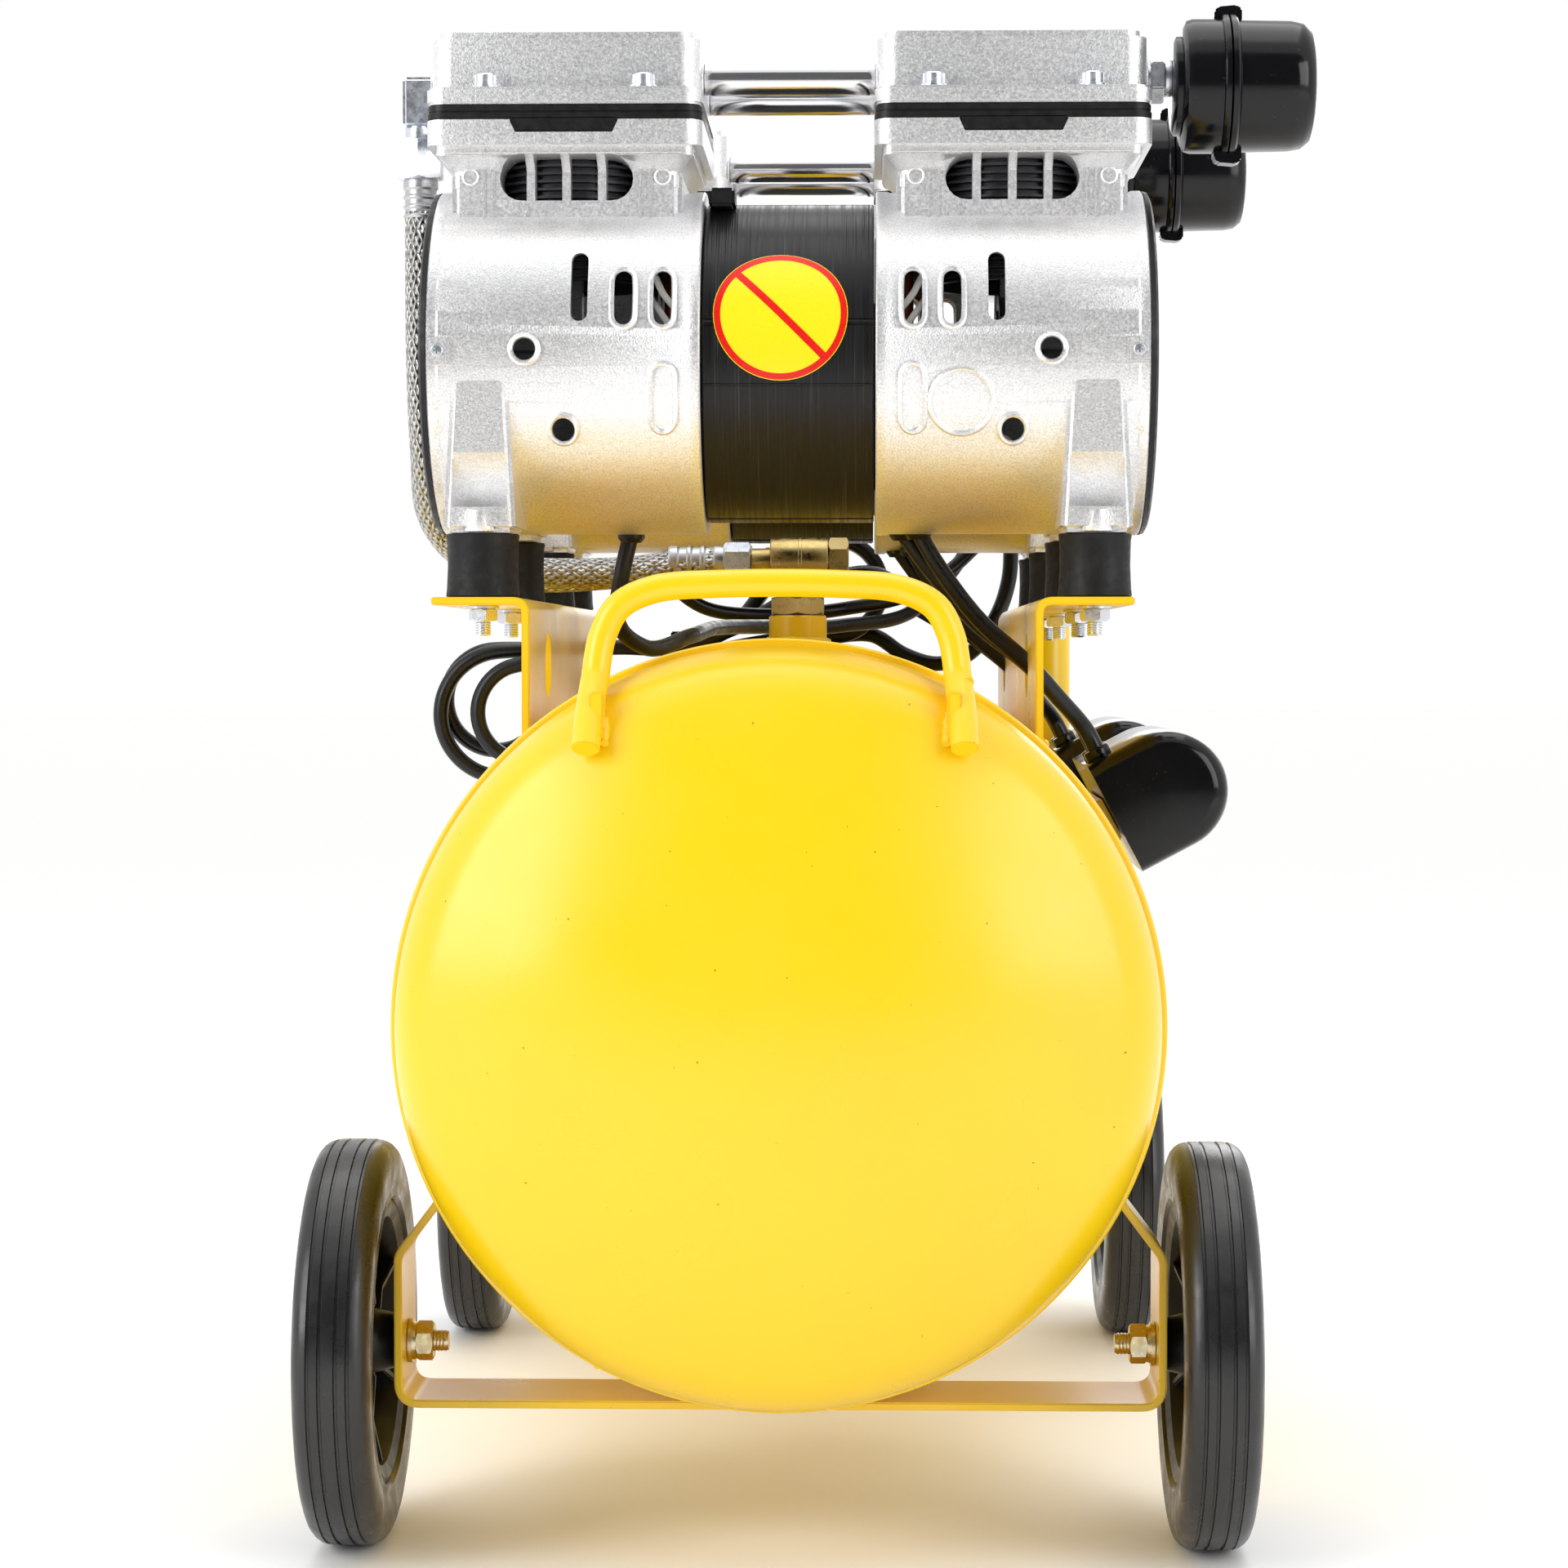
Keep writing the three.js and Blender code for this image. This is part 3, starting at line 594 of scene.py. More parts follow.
def foot_rubber():
    """Dull black rubber with bloom."""
    paint = Paint("foot_rubber", (0.006, 0.006, 0.007), 0.0, 0.5, Specular_IOR_Level=0.3)
    paint.tint(paint.ramp(paint.noise(120, 4), 0.5, 0.8, 0, 1), (0.03, 0.03, 0.033), 0.6)
    paint.roughness(paint.noise(400, 3), 0.3, 0.7, 0.42, 0.62)
    paint.bump(paint.noise(900, 2), 0.00008, 0.5)
    return paint.material


def tyre_rubber():
    """Tyre rubber with a soft shine, faint moulding lines and a trace of dust."""
    paint = Paint("tyre_rubber", (0.010, 0.010, 0.011), 0.0, 0.28, Specular_IOR_Level=0.6)
    paint.tint(paint.ramp(paint.noise(40, 5), 0.5, 0.8, 0, 1), (0.026, 0.025, 0.024), 0.5)
    paint.roughness(paint.noise(90, 4), 0.3, 0.75, 0.22, 0.42)
    paint.bump(paint.noise(600, 3), 0.0001, 0.4)
    return paint.material


def rim_plastic():
    """The wheels' moulded black rims."""
    paint = Paint("rim_plastic", (0.008, 0.008, 0.009), 0.0, 0.4)
    paint.roughness(paint.noise(150, 3), 0.3, 0.7, 0.32, 0.5)
    paint.bump(paint.noise(800, 2), 0.00008, 0.4)
    return paint.material


def lamination():
    """Lacquered steel sheets stacked along X, with their edges as fine rings."""
    paint = Paint("lamination", (0.010, 0.010, 0.011), 0.2, 0.34, Specular_IOR_Level=0.35)
    sheets = paint.noise(1000, 2, 0.5, (1, 0.012, 0.012))
    paint.tint(paint.ramp(sheets, 0.6, 0.75, 0, 1), (0.09, 0.085, 0.075), 0.5)
    paint.roughness(paint.noise(900, 2, 0.5, (1, 0.02, 0.02)), 0.3, 0.7, 0.25, 0.45)
    paint.bump(paint.noise(1000, 1, 0.5, (1, 0.01, 0.01)), 0.0004, 0.9)
    return paint.material


def copper_winding():
    """Enamelled wire, lying along the coil."""
    paint = Paint("copper_winding", (0.45, 0.13, 0.04), 0.6, 0.35)
    paint.tint(paint.ramp(paint.noise(500, 2, 0.5, (1, 0.1, 0.1)), 0.4, 0.7, 0, 1), (0.18, 0.05, 0.02), 0.8)
    paint.bump(paint.noise(900, 1, 0.5, (1, 0.1, 0.1)), 0.0005, 0.9)
    return paint.material


def cord_jacket():
    """Black PVC sheath with a soft shine."""
    paint = Paint("cord_jacket", (0.004, 0.004, 0.005), 0.0, 0.3, Specular_IOR_Level=0.4)
    paint.roughness(paint.noise(120, 3), 0.3, 0.7, 0.24, 0.42)
    paint.bump(paint.noise(500, 2), 0.00008, 0.4)
    return paint.material


def plain_color(name, color, roughness, grain=600):
    """Printed or moulded colour with a slight grain."""
    paint = Paint(name, color, 0.0, roughness)
    paint.roughness(paint.noise(grain, 2), 0.3, 0.7, roughness * 0.8, roughness * 1.25)
    paint.bump(paint.noise(grain, 2), 0.00004, 0.3)
    return paint.material


def clear_lens():
    """The gauge's window, with faint smears."""
    paint = Paint("clear_lens", (0.95, 0.96, 0.96), 0.0, 0.03, Transmission_Weight=1.0, IOR=1.3)
    paint.roughness(paint.noise(90, 3), 0.4, 0.8, 0.02, 0.09)
    return paint.material


def braided_steel(around=14, pitch=4.8):
    """Woven stainless wire: two sets of strands that cross, over and under, round and along the hose."""
    paint = Paint("braided_steel", (0.56, 0.55, 0.53), 1.0, 0.3)
    uv = paint.node("ShaderNodeTexCoord").outputs["UV"]
    split = paint.node("ShaderNodeSeparateXYZ")
    paint.link(uv, split.inputs[0])

    def maths(operation, a, b=0.0):
        made = paint.node("ShaderNodeMath", operation=operation)
        for socket, value in zip(made.inputs, (a, b)):
            if isinstance(value, (int, float)):
                socket.default_value = value
            else:
                paint.link(value, socket)
        return made.outputs[0]

    turns = maths("MULTIPLY", split.outputs[0], around)
    rows = maths("DIVIDE", split.outputs[1], pitch)
    one_way = maths("ADD", turns, rows)
    other_way = maths("SUBTRACT", turns, rows)

    def strand(phase, crossing):
        across = maths("ABSOLUTE", maths("SINE", maths("MULTIPLY", phase, math.pi)))
        over = maths("SINE", maths("MULTIPLY", crossing, math.pi))
        return maths("MULTIPLY", across, maths("ADD", maths("MULTIPLY", over, 0.35), 0.65))

    height = maths("MAXIMUM", strand(one_way, other_way), strand(other_way, maths("ADD", one_way, 1.0)))
    # The low places of the weave are darkened: painted shade in the gaps between the strands.
    paint.tint(paint.ramp(height, 0.1, 0.62, 1, 0), (0.05, 0.047, 0.043), 0.8)
    paint.bump(height, 0.0011, 1.0)
    paint.roughness(paint.noise(500, 2), 0.3, 0.7, 0.24, 0.42)
    return paint.material


YELLOW = yellow_paint()
CAST = cast_aluminium()
MACHINED = machined_aluminium()
LINER = shaded_liner()
CHROME = chrome_tube()
ZINC = zinc_plate()
YELLOW_ZINC = yellow_zinc()
BRASS = brass()
BLACK = black_plastic()
SATIN = satin_plastic()
FOOT_RUBBER = foot_rubber()
TYRE = tyre_rubber()
RIM = rim_plastic()
LAMINATION = lamination()
COPPER = copper_winding()
JACKET = cord_jacket()
BRAID = braided_steel()
RED = plain_color("red_plastic", (0.62, 0.025, 0.015), 0.3)
LABEL_YELLOW = plain_color("label_yellow", (0.86, 0.76, 0.01), 0.28)
LABEL_RED = plain_color("label_red", (0.74, 0.012, 0.006), 0.28)
DIAL_WHITE = plain_color("dial_white", (0.80, 0.80, 0.78), 0.4)
WHITE_SLEEVE = plain_color("white_sleeve", (0.70, 0.68, 0.64), 0.5)
GLASS = clear_lens()

# ---- tank


def bent_line(corners, radius, steps=8):
    """A line of points with its corners bent round a radius."""
    points = [Vector(c) for c in corners]
    line = [points[0]]
    for before, corner, after in zip(points, points[1:], points[2:]):
        back, on = (before - corner).normalized(), (after - corner).normalized()
        reach = radius / math.tan(back.angle(on) / 2)
        start, end = corner + back * reach, corner + on * reach
        for i in range(steps + 1):
            t = i / steps
            line.append(start * (1 - t) ** 2 + corner * (2 * t * (1 - t)) + end * t * t)
    return line + [points[-1]]


def bent_strip(corners, thickness, radius):
    """The outline of a bent bar seen edge on."""
    line = bent_line(corners, radius)
    sides = [[], []]
    for i, point in enumerate(line):
        along = (line[min(i + 1, len(line) - 1)] - line[max(i - 1, 0)]).normalized()
        across = Vector((-along.y, along.x)) * thickness / 2
        sides[0].append(point - across)
        sides[1].append(point + across)
    return [(p.x, p.y) for p in [*sides[0], *reversed(sides[1])]]


HEAD_EDGE = 252  # the welded edge of the shell, from the tank's middle
HEAD_RADIUS = 137.4
CROWN, KNUCKLE = 280, 28


def dished_profile():
    """(radius, y) from the front pole to the welded edge: the crown, the knuckle and the straight flange."""
    knuckle_y = -257
    inset = HEAD_RADIUS - KNUCKLE
    reach = CROWN - KNUCKLE
    crown_y = knuckle_y + math.sqrt(reach ** 2 - inset ** 2)
    joint = math.asin(inset / reach)
    profile = []
    for i in range(29):
        angle = joint * i / 28
        profile.append((CROWN * math.sin(angle), crown_y - CROWN * math.cos(angle)))
    for i in range(1, 15):
        angle = joint + (math.pi / 2 - joint) * i / 14
        profile.append((inset + KNUCKLE * math.sin(angle), knuckle_y - KNUCKLE * math.cos(angle)))
    return profile


def make_tank():
    """The closed vessel, a head at each end just inside the shell, with a small step at the weld."""
    edge = -HEAD_EDGE
    half = dished_profile() + [
        (HEAD_RADIUS, edge - 0.6), (HEAD_RADIUS - 0.5, edge), (HEAD_RADIUS + 0.3, edge + 0.1),
        (TANK_RADIUS - 0.9, edge - 0.1), (TANK_RADIUS - 0.2, edge + 0.5), (TANK_RADIUS, edge + 1.6),
    ]
    rear = [(radius, -y) for radius, y in reversed(half)]
    shell = turned(half + rear, Y, (0, 0, 0), 200)
    add("tank_shell", shell, YELLOW, at=ON_AXIS + Z * TANK_Z, replaces=["tank"],
        angle=50)


def weld_bead(points, radius, seed):
    """A run of weld: a thick line whose ripples follow one another."""
    line = smooth_curve(points, 1.2)
    sides = 10
    form = swept(line, ring(radius, sides))
    for i, vertex in enumerate(form.verts):
        step = i // sides
        ripple = math.sin(step * 1.9 + seed) * 0.12 + math.sin(step * 0.53 + 2 * seed) * 0.1
        centre = line[min(step, len(line) - 1)]
        vertex.co = centre + (vertex.co - centre) * (1 + ripple)
    return form


def over_tank(x, above):
    """The height of a point above the tank's side, at a distance from its axis."""
    return TANK_Z + math.sqrt((TANK_RADIUS + above) ** 2 - x * x)


BOSS_X = PUMPS["front"].x - ON_AXIS.x
RISER = Vector((122, 244))
DRAIN_Y = middle("drain_knob").y


def tank_fittings():
    """What is welded to the tank: the valve's boss, the riser pipe and the drain boss with its nipple."""
    boss = [(0, 0), (12.4, 0), (12.4, 22.2), (11.6, 23), (6.2, 23), (6.2, 8), (0, 8)]
    riser = [(0, 0), (10.5, 0), (10.5, 159), (9.8, 160), (7, 160), (7, 150), (0, 150)]
    bottom = TANK_Z - TANK_RADIUS
    return [
        turned(boss, Z, (BOSS_X, 0, 325)),
        turned(riser, Z, (*RISER, 240), 40),
        cylinder(9, 8, -Z, (0, DRAIN_Y, bottom + 2), 32, 0.8),
        prism(hexagon(12), 14, -Z, (0, DRAIN_Y, bottom - 3), 0.4),
    ]


def tank_welds():
    """The beads round the riser and the boss, and the shell's lengthwise seam, low on its left."""
    saddle = [(x, y, over_tank(x, 0.6)) for x, y in arc(RISER, 11, 0, 360, 28)]
    round_boss = [(x, y, over_tank(x, 0.4)) for x, y in arc((BOSS_X, 0), 12.8, 0, 360, 24)]
    seam_angle = math.radians(-118)
    seam_radius = TANK_RADIUS - 0.3
    seam_x, seam_z = seam_radius * math.cos(seam_angle), TANK_Z + seam_radius * math.sin(seam_angle)
    seam = [(seam_x, y, seam_z) for y in range(-HEAD_EDGE + 2, HEAD_EDGE, 14)]
    return [weld_bead(saddle, 1.9, 1), weld_bead(round_boss, 1.5, 3), weld_bead(seam, 1.3, 5)]


def make_fittings():
    add("tank_fittings", merge(*tank_fittings(), *tank_welds()), YELLOW)


# The handle's right half, from its cut end over the kink to the middle of the grip.
HANDLE_HALF = [
    (66, -290.5, 298), (65.6, -285.5, 306), (65.0, -279.5, 314), (64.4, -275.0, 319.5), (63.8, -272.0, 324),
    (63.3, -270.6, 329), (61.5, -269, 338), (56, -268, 348), (44, -267, 354), (22, -267, 356),
]
HANDLE_RADIUS = 5


def handle_foot(side):
    """The tab that joins one end of the handle to the tank, with its welds."""
    x = side * 62.5
    tab = box((x - 2.5, -287, 300), (x + 2.5, -263, 318), 0.8)
    over_bar = [(x + side * 4, -276, 321), (x + side * 3.2, -272, 325.5), (x + side * 1.5, -268, 327.5)]
    forms = [tab, weld_bead(over_bar, 2.6, side)]
    for edge, seed in ((x + 2.8, 2), (x - 2.8, 4)):
        forms.append(weld_bead([(edge, -286, 300), (edge, -279, 307), (edge, -271, 314)], 1.6, seed))
    return forms


def make_handle():
    left = [(-x, y, z) for x, y, z in HANDLE_HALF]
    bar = tube(left + HANDLE_HALF[::-1], HANDLE_RADIUS, 24, 2.5)
    forms = [soft(bar, 0.5, 2, 60), *handle_foot(-1), *handle_foot(1)]
    add("lifting_handle", merge(*forms), YELLOW, replaces=["handle"])


# A rail's upright sheet, its outer edge and its length, and where the rubber feet stand on it.
RAIL = {"x": 96.5, "edge": 132, "top": 352.7, "sheet": 3, "half": 192.5, "window": 13, "window_y": 115}
FOOT = {"x": 116, "y": 52.5}


def rail_sheet(side):
    """A bent sheet cut to the tank's round side, with two round windows and the studs' holes."""
    half = RAIL["sheet"] / 2
    level = RAIL["top"] - half
    outline = bent_strip([(RAIL["x"], 285), (RAIL["x"], level), (RAIL["edge"], level)], RAIL["sheet"], 5)
    rail = prism(outline, 2 * RAIL["half"], IN_XZ, (0, -RAIL["half"], 0), 0.5)
    if side < 0:
        mirrored(rail)
    cuts = [cylinder(TANK_RADIUS + 0.1, 500, Y, (0, -250, TANK_Z), 160)]
    for y in (-RAIL["window_y"], RAIL["window_y"]):
        cuts.append(cylinder(RAIL["window"], 30, X * side, (side * 82, y, 327), 48, 0.1))
    for pump in PUMPS.values():
        for row in (-1, 1):
            place = (side * FOOT["x"] + pump.x - ON_AXIS.x, pump.y + row * FOOT["y"], 345)
            cuts.append(cylinder(3.4, 12, Z, place, 24, 0.1))
    return combine(rail, "DIFFERENCE", *cuts)


def make_rail(side):
    """A rail with five short welds along its foot."""
    forms = [rail_sheet(side)]
    foot_x = side * (RAIL["x"] + RAIL["sheet"] / 2 + 0.8)
    for k in range(5):
        y = -168 + 84 * k
        run = [(foot_x, y - 14 + 7 * i, over_tank(foot_x, 0.6)) for i in range(5)]
        forms.append(weld_bead(run, 1.8, k))
    name = "left" if side < 0 else "right"
    add(f"{name}_rail_sheet", merge(*forms), YELLOW, replaces=[f"{name}_motor_rail"])


# ---- wheels and their frames
WHEEL_RADIUS = 75
WHEEL_X = 158.5
WHEEL_Y = middle("rear_left_wheel").y
FRAME = {"half": 140.5, "thickness": 3, "width": 40}


def under_tank(x, below=0.0):
    """The height of a point below the tank's side, at a distance from its axis."""
    return TANK_Z - math.sqrt((TANK_RADIUS + below) ** 2 - x * x)


def axle_strap(y):
    """A flat bar bent up at both ends, cut to the tank's round underside, with holes for the axle bolts."""
    base = TANK_Z - TANK_RADIUS - 1.8
    right = [(FRAME["half"], base), (FRAME["half"], 110), (112, 148)]
    left = [(-x, z) for x, z in reversed(right)]
    outline = bent_strip([*left, *right], FRAME["thickness"], 8)
    strap = prism(outline, FRAME["width"], IN_XZ, (0, y - FRAME["width"] / 2, 0), 0.5)
    cuts = [cylinder(TANK_RADIUS + 0.1, 60, Y, (0, y - 30, TANK_Z), 160)]
    for side in (-1, 1):
        cuts.append(cylinder(4.3, 12, X, (side * FRAME["half"] - 6, y, WHEEL_RADIUS), 24, 0.1))
    return combine(strap, "DIFFERENCE", *cuts)


def strap_welds(y, side):
    """One side's welds: two along the bar's edges under the tank, and one at its end."""
    beads = []
    for edge in (y - FRAME["width"] / 2, y + FRAME["width"] / 2):
        run = [(side * x, edge, under_tank(x, 0.8)) for x in range(8, 29, 4)]
        beads.append(weld_bead(run, 1.7, side + edge))
    tip = side * 111
    run = [(tip, y - 18 + 6 * i, under_tank(tip) + 34.5) for i in range(7)]
    return beads + [weld_bead(run, 1.6, side)]


def axle_bolt(y, side):
    """A bolt with its head outside the wheel, and its washers and nut inside the frame."""
    out = X * side

    def along(x):
        return (side * x, y, WHEEL_RADIUS)

    return [
        thread(4, 46, -out, along(170), 1.25, 24),
        nut(13, 6.5, 4, out, along(129.5)),
        washer(4.2, 8.2, 1.5, out, along(137.2), 40),
        turned([(4.2, 0), (6.8, 0), (7.2, 1.4), (4.2, 1.4)], out, along(135.9), 40),
        nut(13, 3.6, 0, out, along(167.2)),
    ]


def make_axle_frame(end, y):
    forms = [axle_strap(y), *strap_welds(y, -1), *strap_welds(y, 1)]
    add(f"{end}_wheel_frame", merge(*forms), YELLOW, replaces=[f"{end}_axle_frame"])
    bolts = [*axle_bolt(y, -1), *axle_bolt(y, 1)]
    add(f"{end}_axle_bolts", merge(*bolts), YELLOW_ZINC)


def tyre_profile():
    """Half of the tread with its grooves, the shoulder, the bulged sidewall and the bead, mirrored."""
    r = WHEEL_RADIUS
    groove = r - 0.8
    half = [
        (r, 0), (r, 2.2), (groove, 2.5), (groove, 3.3), (r, 3.6), (r - 0.1, 6.4), (groove - 0.1, 6.7),
        (groove - 0.1, 7.5), (r - 0.3, 7.8), (r - 0.8, 9.6), (r - 1.8, 11.2), (r - 3.4, 12.6),
        (r - 5.4, 13.4), (r - 8, 13.9), (r - 12, 14), (r - 16, 13.6), (r - 19, 13.1), (r - 20.2, 13.5),
        (r - 21.2, 13.4), (r - 22, 12.4), (r - 22.4, 11),
    ]
    inner = [(radius, -x) for radius, x in half[1:]]
    return half[::-1] + inner + [(r - 24, -10), (r - 24, 10)]


def rim_profile():
    """The rim's ring and the thin web inside it."""
    half = [(52.4, 11.6), (50.6, 12.2), (46, 10.5), (45, 6), (44, 1.5), (13, 1.5)]
    return half + [(radius, -x) for radius, x in reversed(half)]


def make_wheel(end, hand, side, y):
    """A tyre on a rim with six ribs, and a hub that is longer on its inner side."""
    node = f"{end}_{hand}_wheel"
    place = ON_AXIS + Vector((side * WHEEL_X, y, WHEEL_RADIUS))
    add(f"{node}_tyre", turned(tyre_profile(), X, sides=128), TYRE, node, place, [node], 40)
    rim = turned(rim_profile(), X, sides=96)
    hub_low, hub_high = (-15.6, 8) if side > 0 else (-8, 15.6)
    hub = turned([(4.4, hub_low), (9.2, hub_low), (10, hub_low + 0.8), (13.6, 0), (10, hub_high - 0.8),
                  (9.2, hub_high), (4.4, hub_high)], X, sides=48)
    ribs = []
    for i in range(6):
        rib = prism([(9, -3), (13, -7), (30, -6), (46, -9.5), (46, 9.5), (30, 6), (13, 7), (9, 3)], 3,
                    IN_XZ, (0, -1.5, 0), 0.6)
        ribs.append(spun(spun(rib, 90, "Y"), 60 * i))
    add(f"{node}_rim", merge(rim, hub, *ribs), RIM, node, place)


make_tank()
make_fittings()
make_handle()
for rail_side in (-1, 1):
    make_rail(rail_side)
for wheel_end, wheel_y in (("front", -WHEEL_Y), ("rear", WHEEL_Y)):
    make_axle_frame(wheel_end, wheel_y)
    make_wheel(wheel_end, "left", -1, wheel_y)
    make_wheel(wheel_end, "right", 1, wheel_y)

# ---- one pump
# Each pump is drawn about its own middle: x along the shaft, z up. The left half mirrors the right.
CASING = {"inner": 33, "outer": 136, "radius": 66.5, "lip": 67, "wall": 4}
HEAD_Z = {"taper": 70.5, "tray": 75.4, "plate": 88.4, "flange": 94.3, "cover": 100.8, "top": 123.2}
HEAD_HALF = 52.5
HEAD_CORNER = 7
PORT = {"y": 24.5, "z": 107.2}
LEG_LOW = -68.2  # where the legs end and the rubber feet start


def stadium(centre_x, centre_z, width, height, steps=8):
    """An upright slot's outline, with round ends."""
    radius = width / 2
    reach = height / 2 - radius
    return (arc((centre_x, centre_z + reach), radius, 0, 180, steps)
            + arc((centre_x, centre_z - reach), radius, 180, 360, steps))


def lying(centre_x, centre_z, width, height, steps=10):
    """A level slot's outline, with round ends."""
    return [(centre_x + z, centre_z - x) for x, z in stadium(0, 0, height, width, steps)]


def raised_rim(outline, thickness=1.1):
    """A rounded rim along an outline, lying on the casing's round front."""
    line = [Vector((x, -math.sqrt((CASING["radius"] + 0.4) ** 2 - z * z), z)) for x, z in outline]
    line = [p for i, p in enumerate(line) if (p - line[i - 1]).length > 0.05]
    return tube(line, thickness, 8, 1.0, closed=True)


def circle(centre_x, centre_z, diameter):
    """A round vent's outline."""
    return arc((centre_x, centre_z), diameter / 2, 0, 345, 23)


# The casing's slots and round vents: two slots and two vents with a rim, one slot without, and one blind.
OPEN_RIMMED = [stadium(47.0, 19.9, 8.6, 22.6), stadium(61.7, 19.9, 8.6, 22.6),
               circle(98.8, 0.6, 10.4), circle(84.6, -29.2, 10.4)]
PLAIN_SLOT = stadium(78.4, 24.4, 6.4, 26.6)
BLIND_SLOT = stadium(47.0, -17.6, 9.2, 25.4)


def both_faces(form):
    """A form on the casing's -Y face, and its mirror image on the +Y face."""
    return [form, mirrored(form.copy(), (1, -1, 1))]


def casing_cutters():
    """The slots, the round vents and the neck's barred window, cut through both faces."""
    cutters = []
    for outline in [*OPEN_RIMMED, PLAIN_SLOT]:
        cutters += both_faces(prism(outline, 36, IN_XZ, (0, -80, 0)))
    window = prism(lying(HEAD_X, 67.6, 51, 16.5), 30, IN_XZ, (0, -50, 0))
    bars = [box((HEAD_X + x - 1.6, -60, 50), (HEAD_X + x + 1.6, -10, 90)) for x in (-13.6, 0, 13.6)]
    cutters += both_faces(combine(window, "DIFFERENCE", *bars))
    return cutters


def leg():
    """A casing's leg: a rounded pad that runs down to the lug, with a pocket for the stud's end."""
    outline = ([(102.3, -68), (103.6, -45), (105.2, -14)] + arc((109.2, -13), 4, 175, 90, 4)
               + arc((122.8, -13), 4, 90, 5, 4) + [(126.8, -14), (128.4, -45), (129.7, -68)])
    body = prism(outline, 46.5, IN_XZ, (0, -66.2, 0), 2.4, 3)
    pocket_outline = [(-80, -37), (-66, -38), (-58, -47), (-56, -58.4), (-80, -58.4)]
    pocket = prism(pocket_outline, 20.6, IN_YZ, (FOOT["x"] - 10.3, 0, 0))
    nut_boss = cylinder(6.4, 8.4, Z, (FOOT["x"], -60.6, -67.7), 24, 0.6)
    stud_hole = cylinder(3.3, 14, Z, (FOOT["x"], -FOOT["y"], -70), 20, 0.1)
    body = combine(combine(body, "DIFFERENCE", pocket), "UNION", nut_boss)
    return combine(body, "DIFFERENCE", stud_hole)


def casing_bell():
    """The round shell as a solid, with a raised lip at each end."""
    inner, outer, radius, lip = CASING["inner"], CASING["outer"], CASING["radius"], CASING["lip"]
    profile = [
        (0, inner), (lip - 0.6, inner), (lip, inner + 0.6), (lip, inner + 4.4), (radius, inner + 5.4),
        (radius, outer - 4.6), (lip, outer - 3.8), (lip, outer - 0.6), (lip - 0.6, outer), (0, outer),
    ]
    return turned(profile, X, sides=160)


def casing_top():
    """The neck, and the square tray over it with its flared underside."""
    neck = box((HEAD_X - 44, -40, 10), (HEAD_X + 44, 40, 72), 3, 3)
    tray = prism(round_rectangle(HEAD_HALF, HEAD_HALF, HEAD_CORNER), 13, Z, (HEAD_X, 0, HEAD_Z["tray"]))
    flare = flared_box(43.5, 39.5, 49.5, 49.5, HEAD_Z["taper"], HEAD_Z["tray"] + 1)
    return [neck, soft_rim(tray, HEAD_Z["tray"], 3.5), moved(flare, (HEAD_X, 0, 0))]


def casing_hollows():
    """The windings' room, the crank's room, the shaft's hole between them, and the cylinder's bore."""
    return [
        cylinder(57, 20, X, (CASING["inner"] - 1, 0, 0), 96, 0.1),
        cylinder(CASING["radius"] - CASING["wall"], 90, X, (56, 0, 0), 96, 0.1),
        cylinder(8, 14, X, (48, 0, 0), 32, 0.1),
        cylinder(34, 84, Z, (HEAD_X, 0, 20), 64, 0.1),
    ]


def tray_notch():
    """The cut in the tray's front edge that takes the valve plate's tab."""
    top = HEAD_Z["plate"]
    half = [(18.4, top - 4.8), (20.4, top - 0.6), (20.4, top + 2)]
    outline = half + [(-x, z) for x, z in reversed(half)]
    return prism(outline, 6, IN_XZ, (HEAD_X, -HEAD_HALF - 1, 0))


def casing_body():
    """One casting: the bell, the neck and the tray, two legs and two screw bosses, hollowed and slotted."""
    screw_boss = box((127.4, -68.2, -5), (135.2, -60, 5), 0.7)
    body = combine(casing_bell(), "UNION", *casing_top(), *both_faces(leg()), *both_faces(screw_boss))
    return combine(body, "DIFFERENCE", *casing_hollows(), *casing_cutters(), tray_notch())


def lofted(rings):
    """A closed form through rings of points, with flat ends."""
    form = bmesh.new()
    made = [[form.verts.new(p) for p in ring] for ring in rings]
    for low, high in zip(made, made[1:]):
        for i in range(len(low)):
            j = (i + 1) % len(low)
            form.faces.new([low[i], low[j], high[j], high[i]])
    form.faces.new(made[0])
    form.faces.new(made[-1])
    bmesh.ops.recalc_face_normals(form, faces=form.faces)
    return form


def flared_box(low_x, low_y, high_x, high_y, low_z, high_z):
    """A block that widens upwards, with rounded corners."""
    sections = []
    for half_x, half_y, z in ((low_x, low_y, low_z - 6), (low_x, low_y, low_z), (high_x, high_y, high_z)):
        sections.append([(x, y, z) for x, y in round_rectangle(half_x, half_y, 5)])
    return lofted(sections)


def casing_details(side):
    """Raised rims, the neck's ribs and dimples, on both faces, and the right casing's round blank."""
    forms = []
    for outline in [*OPEN_RIMMED, BLIND_SLOT]:
        forms += both_faces(raised_rim(outline))
    if side > 0:
        forms.append(raised_rim(circle(65.2, -19, 24)))
    for x in (-31.8, -28.2, 28.2, 31.8):
        forms += both_faces(box((HEAD_X + x - 0.7, -41.0, 47), (HEAD_X + x + 0.7, -38, 73.5), 0.5))
    dimple = [(2.6, 0), (3.3, 0), (3.3, 0.5), (2.9, 0.7), (2.6, 0.5)]
    for x in (-36.8, 36.8):
        forms += both_faces(turned(dimple, -Y, (HEAD_X + x, -39.9, 68.4), 24))
    return forms


